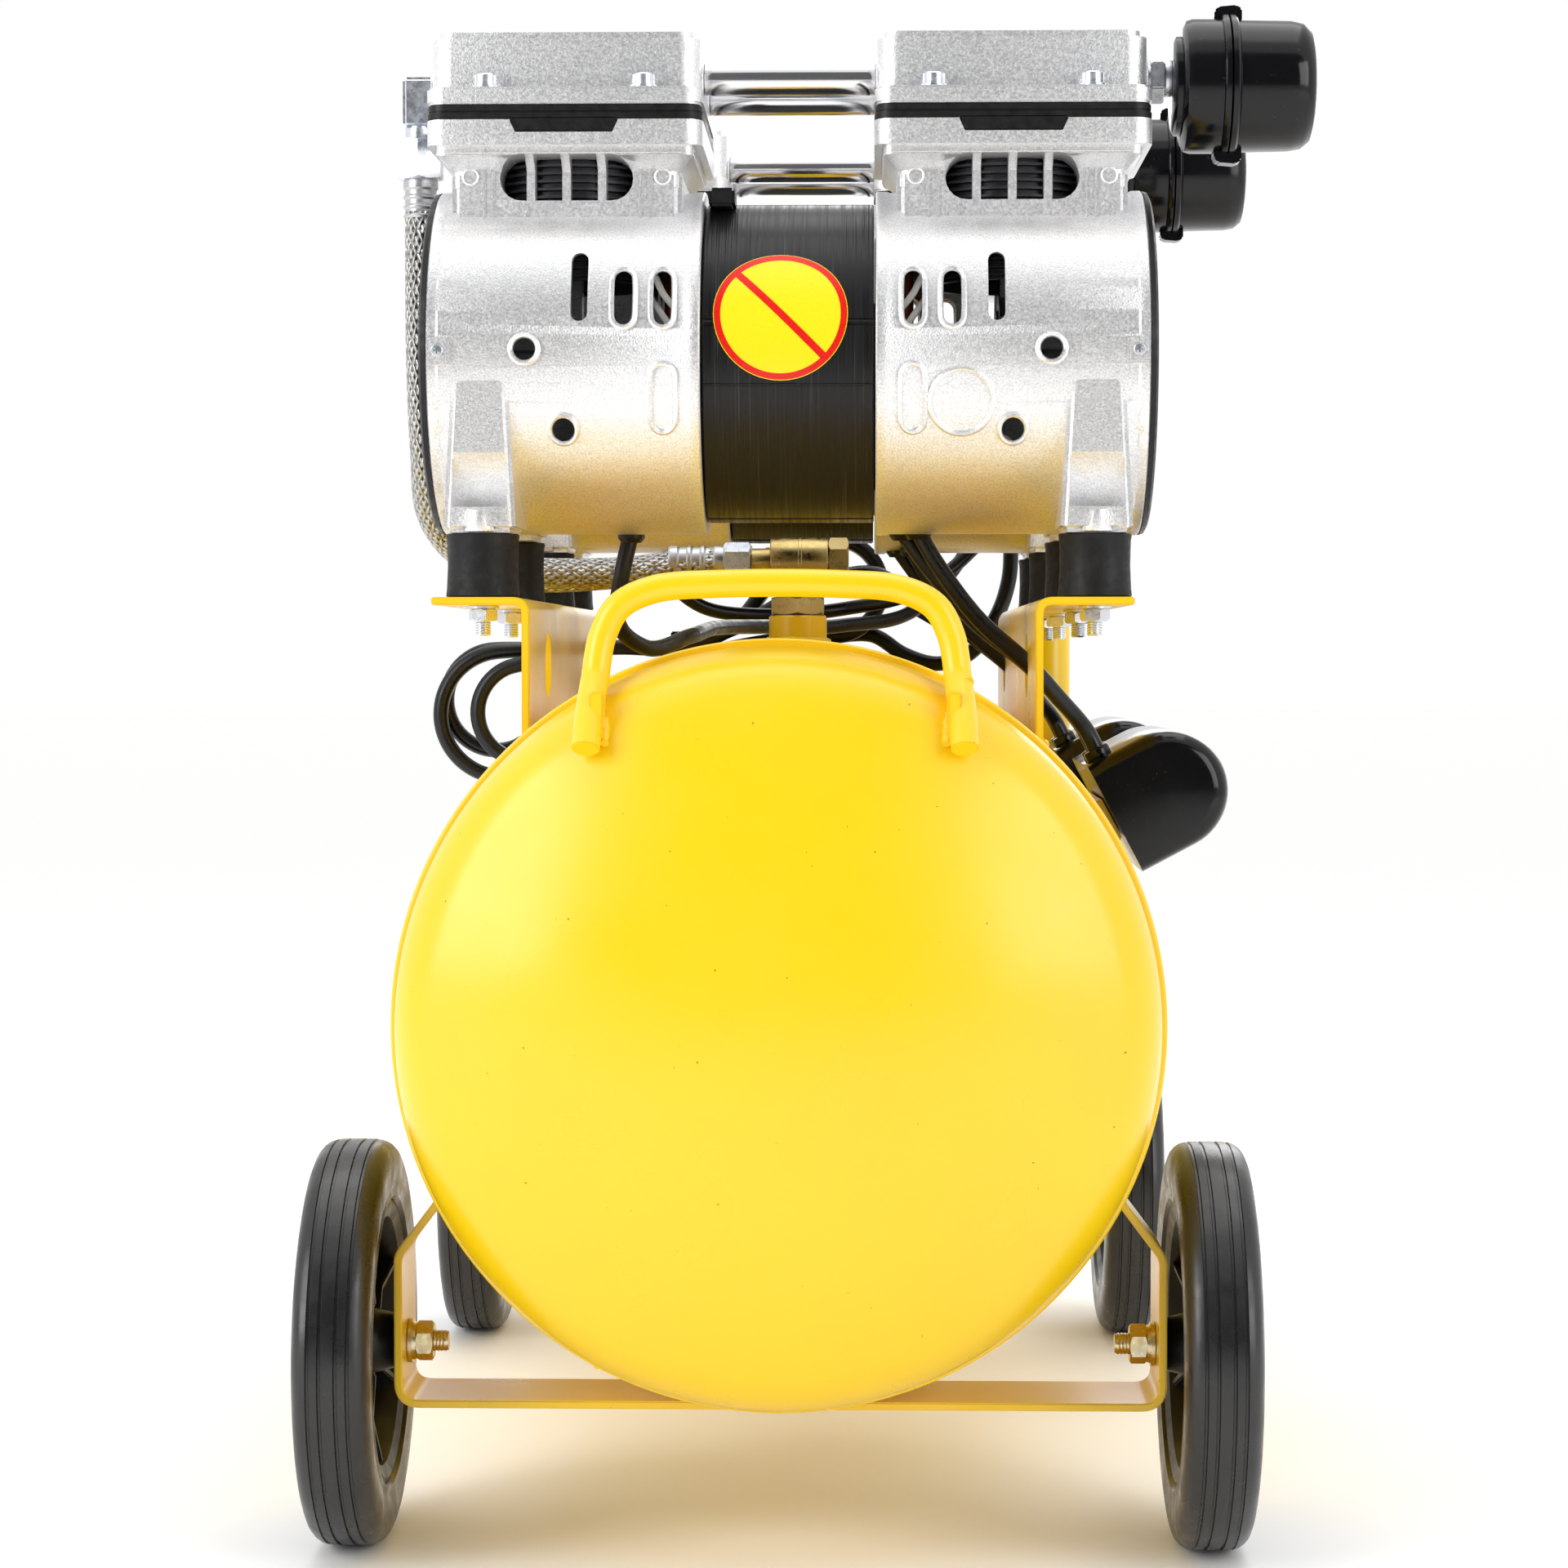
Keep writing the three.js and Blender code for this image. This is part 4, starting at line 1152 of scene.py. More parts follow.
def end_cover():
    """A black end cover: a rim, a dished face with rings of vents, and a hub."""
    profile = [
        (0, 3.2), (14, 3.2), (16, 2.2), (55, 1.8), (60, 2.6), (64.5, 2.6), (66.4, 1.6), (66.9, 0),
        (62, -3), (61, -3), (61, 0), (0, 0),
    ]
    vents = []
    for radius, count, shift in ((26, 10, 0), (38, 16, 0.5), (50, 22, 0)):
        for i in range(count):
            slot = prism(stadium(0, 0, 3.2, 8.4, 6), 12, X, (-4, 0, radius))
            vents.append(spun(slot, 360 * (i + shift) / count))
    cover = combine(turned(profile, X, sides=128), "DIFFERENCE", merge(*vents))
    return moved(cover, X * (CASING["outer"] + 0.3))


def cap_screw(at, radius=4.25, height=5.2):
    """A hexagon socket cap screw's head on its washer."""
    low = 0.8
    profile = [
        (0, low), (radius - 0.2, low), (radius, low + 0.2), (radius, height - 0.5), (radius - 0.5, height),
        (0, height),
    ]
    head = combine(turned(profile, sides=32), "DIFFERENCE", prism(hexagon(4), 4, Z, (0, 0, height - 2.6)))
    return moved(merge(head, washer(2, radius + 0.7, low)), at)


def head_cover():
    """The cylinder head: a flange with its screws' ledges, and a cover with a soft top edge."""
    half_x = 51.3
    flange = prism(round_rectangle(HEAD_HALF, HEAD_HALF, HEAD_CORNER), 6.5, Z, (0, 0, HEAD_Z["flange"]), 0.9)
    cover = prism(round_rectangle(half_x, 42.5, 8), 24, Z, (0, 0, HEAD_Z["top"] - 24))
    pads, ports = [], []
    for hand in (-1, 1):
        for y in (-PORT["y"], PORT["y"]):
            pads.append(cylinder(9, 2, X * hand, (hand * 50, y, PORT["z"]), 40, 0.5))
            ports.append(cylinder(6.6, 10, X, (hand * half_x - 5, y, PORT["z"]), 32, 0.1))
    body = combine(flange, "UNION", soft_rim(cover, HEAD_Z["top"], 2.6))
    body = combine(combine(body, "UNION", *pads), "DIFFERENCE", *ports)
    return moved(body, (HEAD_X, 0, 0))


def valve_plate():
    """Two thin black plates, with the tab that drops into the tray's notch."""
    top = HEAD_Z["plate"]
    plates = []
    for inset, rise, thickness in ((0.1, 0, 2.8), (0.4, 2.9, 2.9)):
        outline = round_rectangle(HEAD_HALF - inset, HEAD_HALF - inset, HEAD_CORNER)
        plates.append(prism(outline, thickness, Z, (0, 0, top + rise), 0.4))
    low_corners = arc((-17.2, top - 1.8), 2.7, 180, 270, 4) + arc((17.2, top - 1.8), 2.7, 270, 360, 4)
    outline = [(-20, top + 1), (-20, top - 0.6), *low_corners, (20, top - 0.6), (20, top + 1)]
    tab = prism(outline, 3.4, IN_XZ, (0, -HEAD_HALF + 0.1, 0), 0.3)
    return moved(merge(*plates, tab), (HEAD_X, 0, 0))


def cylinder_liner():
    """The finned cylinder that shows through the neck's window."""
    profile = [(31, 30)]
    for i in range(18):
        z = 31 + 3.0 * i
        profile += [(31, z), (33.6, z + 0.3), (33.6, z + 1.3), (31, z + 1.6)]
    profile += [(31, 88), (29.5, 88), (29.5, 30)]
    return turned(profile, Z, (HEAD_X, 0, 0), 96)


def winding_end():
    """The bundle of wire at the stator's end."""
    coil = [(40, y, z) for y, z in ring(47, 36)]
    return tube(coil, 7.5, 20, closed=True)


def sleeved_leads():
    """Three white-sleeved leads that run from the winding through the casing's inner wall."""
    leads = []
    for k, z in enumerate((4, 12, 22)):
        leads.append(tube([(40, -50, z - 8), (45 + k, -55, z), (50, -52, z + 6), (54, -44, z + 12)], 1.3, 10))
    return merge(*leads)


def cross_screw():
    """A small pan-head screw with a cross recess, up along Z."""
    head = turned([(0, -0.4), (2.4, -0.4), (2.4, 0.3), (1.9, 1.1), (0, 1.4)], sides=24)
    slots = [box((-1.3, -0.3, 0.6), (1.3, 0.3, 2)), box((-0.3, -1.3, 0.6), (0.3, 1.3, 2))]
    return combine(head, "DIFFERENCE", *slots)


def casing_screws():
    """The head's four cap screws, and a small screw on each of the casing's two bosses."""
    screws = [cap_screw((HEAD_X + x, y, HEAD_Z["cover"])) for x in (-30, 30) for y in (-47.4, 47.4)]
    for row in (-1, 1):
        screws.append(moved(cross_screw(), (131.4, row * 68.2, 0), turn_to(Y * row)))
    return merge(*screws)


def place_casing(name, pump, side, hand):
    """One half of a pump, drawn on the right and mirrored for the left."""
    node = f"{name}_{hand}"
    cast = merge(casing_body(), *casing_details(side))
    pieces = (
        ("casing_cast", cast, CAST, [f"{node}_casing"], "cast_aluminium", 32),
        ("cover_vented", end_cover(), SATIN, [f"{node}_end_cover"], "black_plastic", 35),
        ("head_cast", head_cover(), CAST, [f"{node}_head"], "cast_aluminium", 32),
        ("valve_plate", valve_plate(), SATIN, (), "black_plastic", 35),
        ("liner", cylinder_liner(), LINER, (), "cast_aluminium", 35),
        ("winding", winding_end(), COPPER, (), None, 35),
        ("sleeves", sleeved_leads(), WHITE_SLEEVE, (), None, 35),
        ("screws", casing_screws(), ZINC, (), "plated_steel", 35),
    )
    for piece, form, material, replaces, slot, angle in pieces:
        if side < 0:
            mirrored(form)
        add(f"{node}_{piece}", form, material, at=pump, replaces=replaces, angle=angle)


def place_foot(name, pump, side, hand, row, which):
    """A rubber mount with its studs, washers and nuts."""
    x, y = side * FOOT["x"], row * FOOT["y"]
    top, low = LEG_LOW, RAIL["top"] - pump.z + 0.1
    profile = [
        (0, low), (13.6, low), (14, low + 0.6), (13.7, low + 3), (13.3, (low + top) / 2),
        (13.5, top - 3), (13.9, top - 0.6), (13.5, top), (0, top),
    ]
    node = f"{name}_{hand}_{which}_foot"
    rubber = turned(profile, Z, (x, y, 0))
    add(f"{node}_rubber", rubber, FOOT_RUBBER, at=pump, replaces=[node])
    under = low - RAIL["sheet"] - 0.2
    metal = [
        thread(3, 12.4, -Z, (x, y, under + 1)),
        washer(3.1, 6.2, 1.1, -Z, (x, y, under)),
        nut(10, 4.6, 3, -Z, (x, y, under - 1.2), 30 + 17 * row),
        thread(3, 11, Z, (x, y, top + 2.2)),
    ]
    add(f"{node}_stud", merge(*metal), ZINC, at=pump)


# ---- stator and label
STATOR = {"radius": 62, "half": 32.4}


def stator():
    """A round stack of sheets, with grooves along it and two thin seam welds."""
    radius, half = STATOR["radius"], STATOR["half"]
    right = [(radius, half - 0.6), (radius - 0.6, half), (0, half)]
    profile = [(r, -x) for r, x in reversed(right)] + right
    stack = turned(profile, X, sides=160)
    grooves = []
    for degrees in (10.2, 79, 101, 169.8, 259, 281):
        angle = math.radians(degrees)
        place = (-40, radius * math.cos(angle), radius * math.sin(angle))
        grooves.append(cylinder(1.4, 80, X, place, 16, 0.1))
    stack = combine(stack, "DIFFERENCE", cylinder(40, 80, X, (-40, 0, 0), 64, 0.1), *grooves)
    seams = []
    for degrees in (-11.6, 191.6):
        angle = math.radians(degrees)
        y, z = 61.9 * math.cos(angle), 61.9 * math.sin(angle)
        seams.append(weld_bead([(-32, y, z), (0, y, z), (32, y, z)], 0.6, degrees))
    return merge(stack, *seams)


def on_stator(outline, low, high):
    """A thin patch that lies on the stator's round front, between two heights above it."""
    form = bmesh.new()
    rings = []
    for height in (low, high):
        corners = []
        for x, along in outline:
            angle = along / STATOR["radius"]
            radius = STATOR["radius"] + height
            corners.append(form.verts.new((x, -radius * math.cos(angle), radius * math.sin(angle))))
        rings.append(corners)
    for i in range(len(outline)):
        j = (i + 1) % len(outline)
        form.faces.new([rings[0][i], rings[0][j], rings[1][j], rings[1][i]])
    bottom, top = (form.faces.new(corners) for corners in rings)
    bmesh.ops.triangulate(form, faces=[bottom, top])
    return form


# The label's middle on the stator, its radius, its printed ring's width and its bar's half width.
LABEL = {"x": -2.8, "z": 14.4, "radius": 25.4, "ring": 2.7, "bar": 1.4}
LABEL_LOW, PRINT_LOW, PRINT_HIGH = 0.05, 0.22, 0.32  # heights above the sheets


def label_disc():
    """The sticker, cut into narrow level strips, so that it follows the stator's curve."""
    levels = []
    for i in range(31):
        z = LABEL["radius"] * math.sin(math.pi * (i / 30 - 0.5))
        levels.append((math.sqrt(max(LABEL["radius"] ** 2 - z ** 2, 0.01)), LABEL["z"] + z))
    x = LABEL["x"]
    strips = []
    for (low, low_z), (high, high_z) in zip(levels, levels[1:]):
        outline = [(x - low, low_z), (x + low, low_z), (x + high, high_z), (x - high, high_z)]
        strips.append(on_stator(outline, LABEL_LOW, PRINT_LOW))
    return merge(*strips)


def label_print():
    """The printed ring and the bar across it, drawn as thin raised patches."""
    outer, inner = LABEL["radius"] - 0.3, LABEL["radius"] - LABEL["ring"]
    patches = []
    for i in range(72):
        far, near = (arc((LABEL["x"], LABEL["z"]), radius, 5 * i, 5 * i + 5, 1) for radius in (outer, inner))
        patches.append([*far, *reversed(near)])
    centre = Vector((LABEL["x"], LABEL["z"]))
    diagonal = math.radians(135)
    along = Vector((math.cos(diagonal), math.sin(diagonal)))
    across = Vector((along.y, -along.x)) * LABEL["bar"]
    steps = 24
    for i in range(steps):
        start, end = (centre + along * (inner * (2 * k / steps - 1)) for k in (i, i + 1))
        patches.append([start - across, end - across, end + across, start + across])
    return merge(*[on_stator(patch, PRINT_LOW, PRINT_HIGH) for patch in patches])


def place_stator(name, pump):
    """The stator with its label and terminal block, and the two pipes between the heads."""
    add(f"{name}_stator_stack", stator(), LAMINATION, at=pump, replaces=[f"{name}_stator"])
    add(f"{name}_label_disc", label_disc(), LABEL_YELLOW, at=pump)
    add(f"{name}_label_print", label_print(), LABEL_RED, at=pump)
    block = box((-31, -34, 58), (-21, -12, 65), 1.2)
    add(f"{name}_terminal_block", block, SATIN, at=pump)
    for row, part in ((-1, "intake"), (1, "exhaust")):
        bar = cylinder(6, 66.8, X, (-33.4, row * PORT["y"], PORT["z"]), 64, 0.5)
        add(f"{name}_{part}_pipe", bar, CHROME, at=pump, replaces=[f"{name}_{part}_tube"])


# ---- air filter
# Its fitting starts on the right head's front port. The canister hangs a little lower than the fitting.
FILTER = {"start": 137.6, "end": 200.3, "radius": 27.4, "seam": 167.6, "sag": 3}


def filter_canister():
    """Two round halves that meet at a seam, with a ring of slots in the outer end."""
    start, end, radius, seam = FILTER["start"] + 9, FILTER["end"], FILTER["radius"], FILTER["seam"]
    profile = [
        (0, start), (17, start), (19, start + 1), (19, start + 3), (radius - 5, start + 3.4),
        (radius - 2.6, start + 4.6), (radius - 1.8, start + 7), (radius - 1.8, seam - 3),
        (radius - 0.4, seam - 2.6), (radius, seam - 1.8), (radius, seam - 0.4), (radius - 1, seam),
        (radius, seam + 0.4), (radius, seam + 2.2), (radius - 0.6, seam + 3), (radius - 2.2, seam + 3.6),
        (radius - 2.6, end - 9), (radius - 3.4, end - 4.4), (radius - 5.6, end - 1.4),
        (radius - 8.6, end - 0.3), (12, end), (0, end),
    ]
    slots = [spun(box((end - 3, -1.3, 10), (end + 3, 1.3, 17)), 30 * i) for i in range(12)]
    return combine(turned(profile, X, sides=96), "DIFFERENCE", *slots)


def filter_fitting():
    """A threaded end, a hexagon and a collar."""
    start = X * FILTER["start"]
    return merge(
        cylinder(5.2, 14, X, start - X * 3, 32, 0.4),
        prism(hexagon(17), 5.2, X, start + X * 0.6, 0.5),
        cylinder(7, 3, X, start + X * 6, 32, 0.4),
    )


def filter_clip():
    """A snap clip over the seam, at the canister's top."""
    radius, seam = FILTER["radius"], FILTER["seam"]
    outline = [
        (seam - 5.2, radius - 2.4), (seam - 5.2, radius + 0.6), (seam - 3.6, radius + 2.2),
        (seam + 3.2, radius + 2.8), (seam + 5.4, radius + 1.4), (seam + 5.4, radius - 3),
    ]
    return prism(outline, 10, IN_XZ, (0, -5, 0), 0.6)


def place_filter(name, pump):
    """A two-part round canister on a hexagonal fitting, held shut by two snap clips."""
    port = pump + Vector((0, -PORT["y"], PORT["z"]))
    hung = port - Z * FILTER["sag"]
    add(f"{name}_filter_body", filter_canister(), BLACK, at=hung, replaces=[f"{name}_air_filter"])
    add(f"{name}_filter_fitting", filter_fitting(), ZINC, at=port)
    clips = merge(filter_clip(), spun(filter_clip(), 180))
    add(f"{name}_filter_clips", clips, BLACK, at=hung)


def place_pump(name, pump):
    for side, hand in ((-1, "left"), (1, "right")):
        place_casing(name, pump, side, hand)
        for row, which in ((-1, "fore"), (1, "aft")):
            place_foot(name, pump, side, hand, row, which)
    place_stator(name, pump)
    place_filter(name, pump)


for pump_name, pump_middle in PUMPS.items():
    place_pump(pump_name, pump_middle)

# ---- mains cord
# The cord drops from its gland to the tank's top, and is folded over the tank's left shoulder as a hank of
# three lanes side by side. Its tail is given in metres in the frame, as in the CAD.
CORD_RADIUS = 3.75
CORD_TAIL = [
    (0.087, 0.216, 0.4017), (0.087, 0.216, 0.386), (0.086, 0.217, 0.368), (0.080, 0.2185, 0.350),
    (0.067, 0.2205, 0.332), (0.051, 0.223, 0.327), (0.035, 0.226, 0.3315), (0.0195, 0.2285, 0.341),
]
LANES = (228.8, 220.5, 212.2)
TIE_X = -62
LEFT_FOLDS = [(-152, 309, 25), (-148, 302, 31), (-136, 303, 23.75)]  # x, z and radius of each lane's fold
RIGHT_FOLD = (15, 364.3, 23.75)
PLUG_BOOT = (45.5, 207, 366)
PLUG_TURN = 30


def on_tank(x, y):
    """A point of the cord where it lies on the tank."""
    return (x, y, over_tank(x, CORD_RADIUS + 0.3))


def left_fold(lane):
    """From where the cord leaves the tank's side, round the hank's left end, to its upper run."""
    y = LANES[lane]
    x, z, radius = LEFT_FOLDS[lane]
    return [(px, y, pz) for px, pz in arc((x, z), radius, -55, -262, 16)]


def right_fold(lane_from, lane_to):
    """From the upper run in one lane, round the hank's right end, to the lower run in the next."""
    x, z, radius = RIGHT_FOLD
    steps = 12
    points = []
    for i, (px, pz) in enumerate(arc((x, z), radius, 95, -95, steps)):
        share = i / steps
        points.append((px, LANES[lane_from] * (1 - share) + LANES[lane_to] * share, pz))
    return points


def cord_route():
    """The cord's middle line: the tail, three turns of the hank, and the end that rises to the plug."""
    route = [Vector(p) / MM - ON_AXIS for p in CORD_TAIL]
    route += [(15, LANES[0], 340.6), (-5, LANES[0], 338.5), (-30, LANES[0], 335.5)]
    tied_low = over_tank(TIE_X, CORD_RADIUS + 0.6)
    tied_high = tied_low + 2 * CORD_RADIUS + 0.3
    for lane, y in enumerate(LANES):
        if lane:
            route += [*right_fold(lane - 1, lane), (-5, y, 339.5), (-30, y, 335.5)]
        route += [(TIE_X, y, tied_low), on_tank(-85, y), on_tank(-105, y)]
        route += [*left_fold(lane), (-118, y, 334), (-90, y, 335), (TIE_X, y, tied_high)]
        if lane < 2:
            route += [(-35, y, 345), (-10, y, 374)]
    return route + [(-30, 211, 346), (0, 209, 362), (25, 207.6, 370.8), (36, 207, 370.6), PLUG_BOOT]


def plug_place(form):
    return moved(spun(form, PLUG_TURN, "Y"), PLUG_BOOT)


def make_plug():
    """A moulded two-blade plug with a ribbed boot, drawn along +X."""
    rings = [(0, 0.2), (4.6, 0.2)]
    for i in range(4):
        rings += [(5.0 + 0.5 * i, 2.2 + 3 * i), (4.4 + 0.5 * i, 3.0 + 3 * i)]
    rings += [(6.8, 14), (0, 14)]
    boot = turned(rings, X, sides=32)
    half = [(13.4, -6.8), (18, -9.5), (24, -11.8), (39.7, -11.8)]
    body = prism(half + [(x, -y) for x, y in reversed(half)], 17.6, Z, (0, 0, -8.8), 3.0, 4)
    grips = [box((20 + 4 * i, -3, 8.2), (22 + 4 * i, 3, 9.0), 0.3) for i in range(4)]
    plug = add("plug_body", plug_place(merge(boot, body, *grips)), JACKET, replaces=["mains_plug"])
    blades = []
    for y in (-6.35, 6.35):
        blade = box((39.2, y - 0.75, -3.0), (55.8, y + 0.75, 3.0), 0.4)
        hole = cylinder(1.5, 4, Y, (51, y - 2, 0), 20, 0.1)
        blades.append(combine(blade, "DIFFERENCE", hole))
    blade_piece = add("plug_blades", plug_place(merge(*blades)), BRASS)
    return [plug, blade_piece]


def make_strain_relief():
    """A tapered, segmented sleeve from the switch box down to the cord's exit."""
    profile = [(4.2, 0), (5.0, 0)]
    for i in range(6):
        grow = 0.38 * i
        profile += [(5.0 + grow, 1.0 + 4 * i), (5.1 + grow, 3.0 + 4 * i), (4.5 + grow, 3.3 + 4 * i),
                    (4.5 + grow, 4.4 + 4 * i)]
    profile += [(7.4, 24.4), (7.4, 26.1), (4.2, 26.1)]
    exit_x, exit_y, _ = Vector(CORD_TAIL[0]) / MM - ON_AXIS
    relief = turned(profile, Z, (exit_x, exit_y, 402), 40)
    return add("cord_strain_relief", relief, SATIN)


def make_tie():
    """A cable tie round the six runs of the hank."""
    low = over_tank(TIE_X, 0.25)
    high = low + 4 * CORD_RADIUS + 1.4
    near, far = LANES[-1] - CORD_RADIUS - 0.9, LANES[0] + CORD_RADIUS + 0.9
    centre = ((near + far) / 2, (low + high) / 2)
    outline = round_rectangle((far - near) / 2, (high - low) / 2, 3.6, centre)
    line = [Vector((TIE_X, y, z)) for y, z in outline]
    band = swept(line, [(-1.8, -0.45), (1.8, -0.45), (1.8, 0.45), (-1.8, 0.45)], closed=True)
    lock = box((TIE_X - 3, LANES[1] - 3, high - 0.2), (TIE_X + 3, LANES[1] + 3, high + 3.6), 0.6)
    tail = box((TIE_X - 1.7, LANES[1] + 2, high + 1.0), (TIE_X + 1.7, LANES[1] + 13, high + 1.9), 0.3)
    return add("hank_tie", merge(band, lock, tail), SATIN)


def make_cord():
    """The whole cord as one piece, with its strain relief, tie and plug."""
    line = smooth_curve(cord_route(), 3.0)
    cord = add("mains_cord", swept(line, ring(CORD_RADIUS, 24)), JACKET,
               replaces=["mains_cord_tail", "mains_cord_hank"])
    make_strain_relief()
    make_tie()
    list(make_plug())


make_cord()

# ---- delivery hoses and check valve
ELBOW = {"x": -147, "z": 552.2}
HOSE_RADIUS = 6.5
HOSE_ROUTES = {
    "front": [
        (-147, -100.5, 508), (-147, -100.5, 490), (-147, -99, 450), (-147, -88, 414), (-147, -68, 389),
        (-137, -44, 373), (-120, -24, 367), (-98, -10, 366), (-70, -2, 367), (-48, 0, 370), (-34, 0, 371),
    ],
    "rear": [
        (-147, 149.5, 508), (-147, 149.5, 490), (-147, 147, 450), (-147, 136, 415), (-147, 112, 388),
        (-147, 84, 371), (-140, 56, 366), (-122, 36, 365), (-98, 24, 365), (-70, 19, 367), (-48, 18, 370),
        (-34, 18, 371),
    ],
}


def ferrule(axis, at, length):
    """A crimped sleeve, with its pressed rings."""
    profile = [(6.0, 0), (6.7, 0.4), (7.0, 2)]
    pitch, width = 0.24 * length, 0.16 * length
    for i in range(3):
        start = 4 + pitch * i
        profile += [(7.0, start), (6.3, start + 0.9), (6.3, start + width), (7.0, start + width + 0.9)]
    profile += [(7.0, length - 1), (6.5, length), (6.0, length)]
    return turned(profile, axis, at, 40)


def place_hose(name):
    route = HOSE_ROUTES[name]
    y = route[0][1]
    end_y = route[-1][1]
    add(f"{name}_hose_braid", tube(route, HOSE_RADIUS - 0.1, 32, 3), BRAID, replaces=[f"{name}_hose"])
    x, z = ELBOW["x"], ELBOW["z"]
    elbow = soft(box((x - 6.4, y - 6.9, z - 11), (x + 6.4, y + 6.9, z + 8.9)), 1.6, 3)
    fittings = [
        elbow,
        cylinder(5, 11, X, (x + 6, y, z), 32, 0.3),
        moved(prism(hexagon(12), 3.4, X, (0, 0, 0), 0.3), (x + 6.2, y, z)),
        cylinder(6.0, 6, Z, (x, y, 536), 32, 0.3),
        thread(5.6, 5, Z, (x, y, 536.4), 1.2, 32),
        nut(17, 16, 5.5, Z, (x, y, 521), 30),
        nut(14.6, 11.6, 4, X, (-29.9, end_y, 371)),
    ]
    add(f"{name}_hose_fittings", merge(*fittings), ZINC)
    crimps = [ferrule(-Z, (x, y, 521.5), 16), ferrule(-X, (-29.5, end_y, 371), 24)]
    add(f"{name}_hose_ferrules", merge(*crimps), MACHINED)


def make_check_valve():
    """A hexagonal foot, a round body with a cross piece and two inlets, and a hexagonal cap."""
    z = 371
    forms = [
        nut(22.4, 7.4, 0, Z, (2, 0, 348.4)),
        turned([(0, 355), (9, 355), (9, 358), (8, 359), (8, 371), (0, 371)], Z, (2, 0, 0), 48),
        cylinder(10.3, 25, X, (-9.8, 0, z), 56, 0.9),
        turned([(10.2, 0), (10.5, 0.5), (10.5, 1.6), (10.2, 2.1), (8, 2.1), (8, 0)], X, (2, 0, z), 56),
        nut(18, 8.6, 0, X, (15.2, 0, z)),
        cylinder(7.9, 25, Y, (0, 0, z), 48, 0.8),
        cylinder(5.8, 12, -X, (-6, 0, z), 36, 0.4),
        cylinder(5.8, 18, -X, (0, 18, z), 36, 0.4),
        nut(12, 3, 0, -X, (-10, 18, z)),
    ]
    add("check_valve_body", merge(*forms), BRASS, replaces=["check_valve"])


# ---- capacitor boxes and motor leads
BOX = {"base": 147.2, "centre": 171, "radius": 23.8, "turn": 28}
LEAD_RADIUS = 3.3
LEAD_ENTRY = 154  # how far out from the tank's axis the leads go into a box
GLANDS = (20, 36)  # how far behind a box's front end its glands are
SUPPLY_ROUTES = {
    "front": [
        (-62, -112, 380), (-66, -111, 362), (-68, -104, 344), (-58, -84, 334), (-42, -40, 339),
        (-34, 30, 343), (-14, 90, 344), (20, 140, 345), (56, 182, 354), (86, 195, 392), (100, 197, 430),
        (104, 206, 446),
    ],
    "rear": [
        (-62, 137, 380), (-60, 138, 366), (-46, 142, 354), (-20, 150, 350), (20, 158, 353),
        (60, 184, 364), (94, 196, 396), (110, 197, 432), (113, 206, 446),
    ],
}


def from_tank(out, up):
    """A place beside the tank's right shoulder: so far out from its axis, and so far up along the box."""
    turn = math.radians(BOX["turn"])
    return (out * math.cos(turn) - up * math.sin(turn), TANK_Z + out * math.sin(turn) + up * math.cos(turn))


def capacitor_shell(front, back):
    """A long box with a round outer side and softened ends."""
    radius = BOX["radius"]
    sections = []
    for along, inset in ((0, 7), (0.6, 4.6), (2, 2.4), (4.4, 0.8), (8, 0)):
        outline = [(BOX["base"], inset - radius)] + arc((BOX["centre"], 0), radius - inset, -90, 90, 28)
        outline.append((BOX["base"], radius - inset))
        sections.append((along, [from_tank(*point) for point in outline]))
    rings = [[(x, front + along, z) for x, z in outline] for along, outline in sections]
    rings += [[(x, back - along, z) for x, z in outline] for along, outline in reversed(sections)]
    return lofted(rings)


def place_box(name):
    """A capacitor box on its yellow tab, with two glands for its leads."""
    low, high = span(f"{name}_capacitor_box")
    gland_x, gland_z = from_tank(LEAD_ENTRY, BOX["radius"] - 1)
    out_x, out_z = from_tank(LEAD_ENTRY, BOX["radius"] + 5)
    axis = Vector((out_x - gland_x, 0, out_z - gland_z))
    shell = capacitor_shell(low.y + 0.2, high.y - 0.2)
    glands = [cylinder(5.4, 5, axis, (gland_x, low.y + y, gland_z), 28, 0.8) for y in GLANDS]
    add(f"{name}_capacitor_shell", merge(shell, *glands), BLACK, replaces=[f"{name}_capacitor_box"])
    outline = [from_tank(*p) for p in ((139.2, -9), (146.6, -9), (146.6, 9), (139.2, 9))]
    tab = prism(outline, 85, IN_XZ, (0, low.y + 15, 0), 0.6)
    add(f"{name}_capacitor_tab", tab, YELLOW)


def grommet(at):
    """The collar where a lead leaves a casing, down from a point."""
    return turned([(4.6, 0), (5.4, 0.6), (5.4, 2.6), (4.0, 4.4), (3.3, 4.4)], -Z, at, 28)


def place_leads(name, pump):
    """Two leads from the right casing through the rail's window to the capacitor box."""
    low, _ = span(f"{name}_capacitor_box")
    window_y = math.copysign(RAIL["window_y"], pump.y)
    entry_x, entry_z = from_tank(LEAD_ENTRY, BOX["radius"] + 0.5)
    forms = []
    for k, side in enumerate((-1, 1)):
        y, gland_y = window_y + 4.5 * side, low.y + GLANDS[k]
        start_x = 52 - 6 * k
        route = [
            (start_x, y, 379.5), (60 - 4 * k, y, 366), (76 - 2 * k, y, 345), (RAIL["x"], y, 326.5),
            (108, window_y * 0.8 + gland_y * 0.2, 314), (entry_x - 5, gland_y, entry_z + 10),
            (entry_x, gland_y, entry_z),
        ]
        forms += [tube(route, LEAD_RADIUS, 20), grommet((start_x, y, 380.8))]
    add(f"{name}_motor_leads", merge(*forms), JACKET)


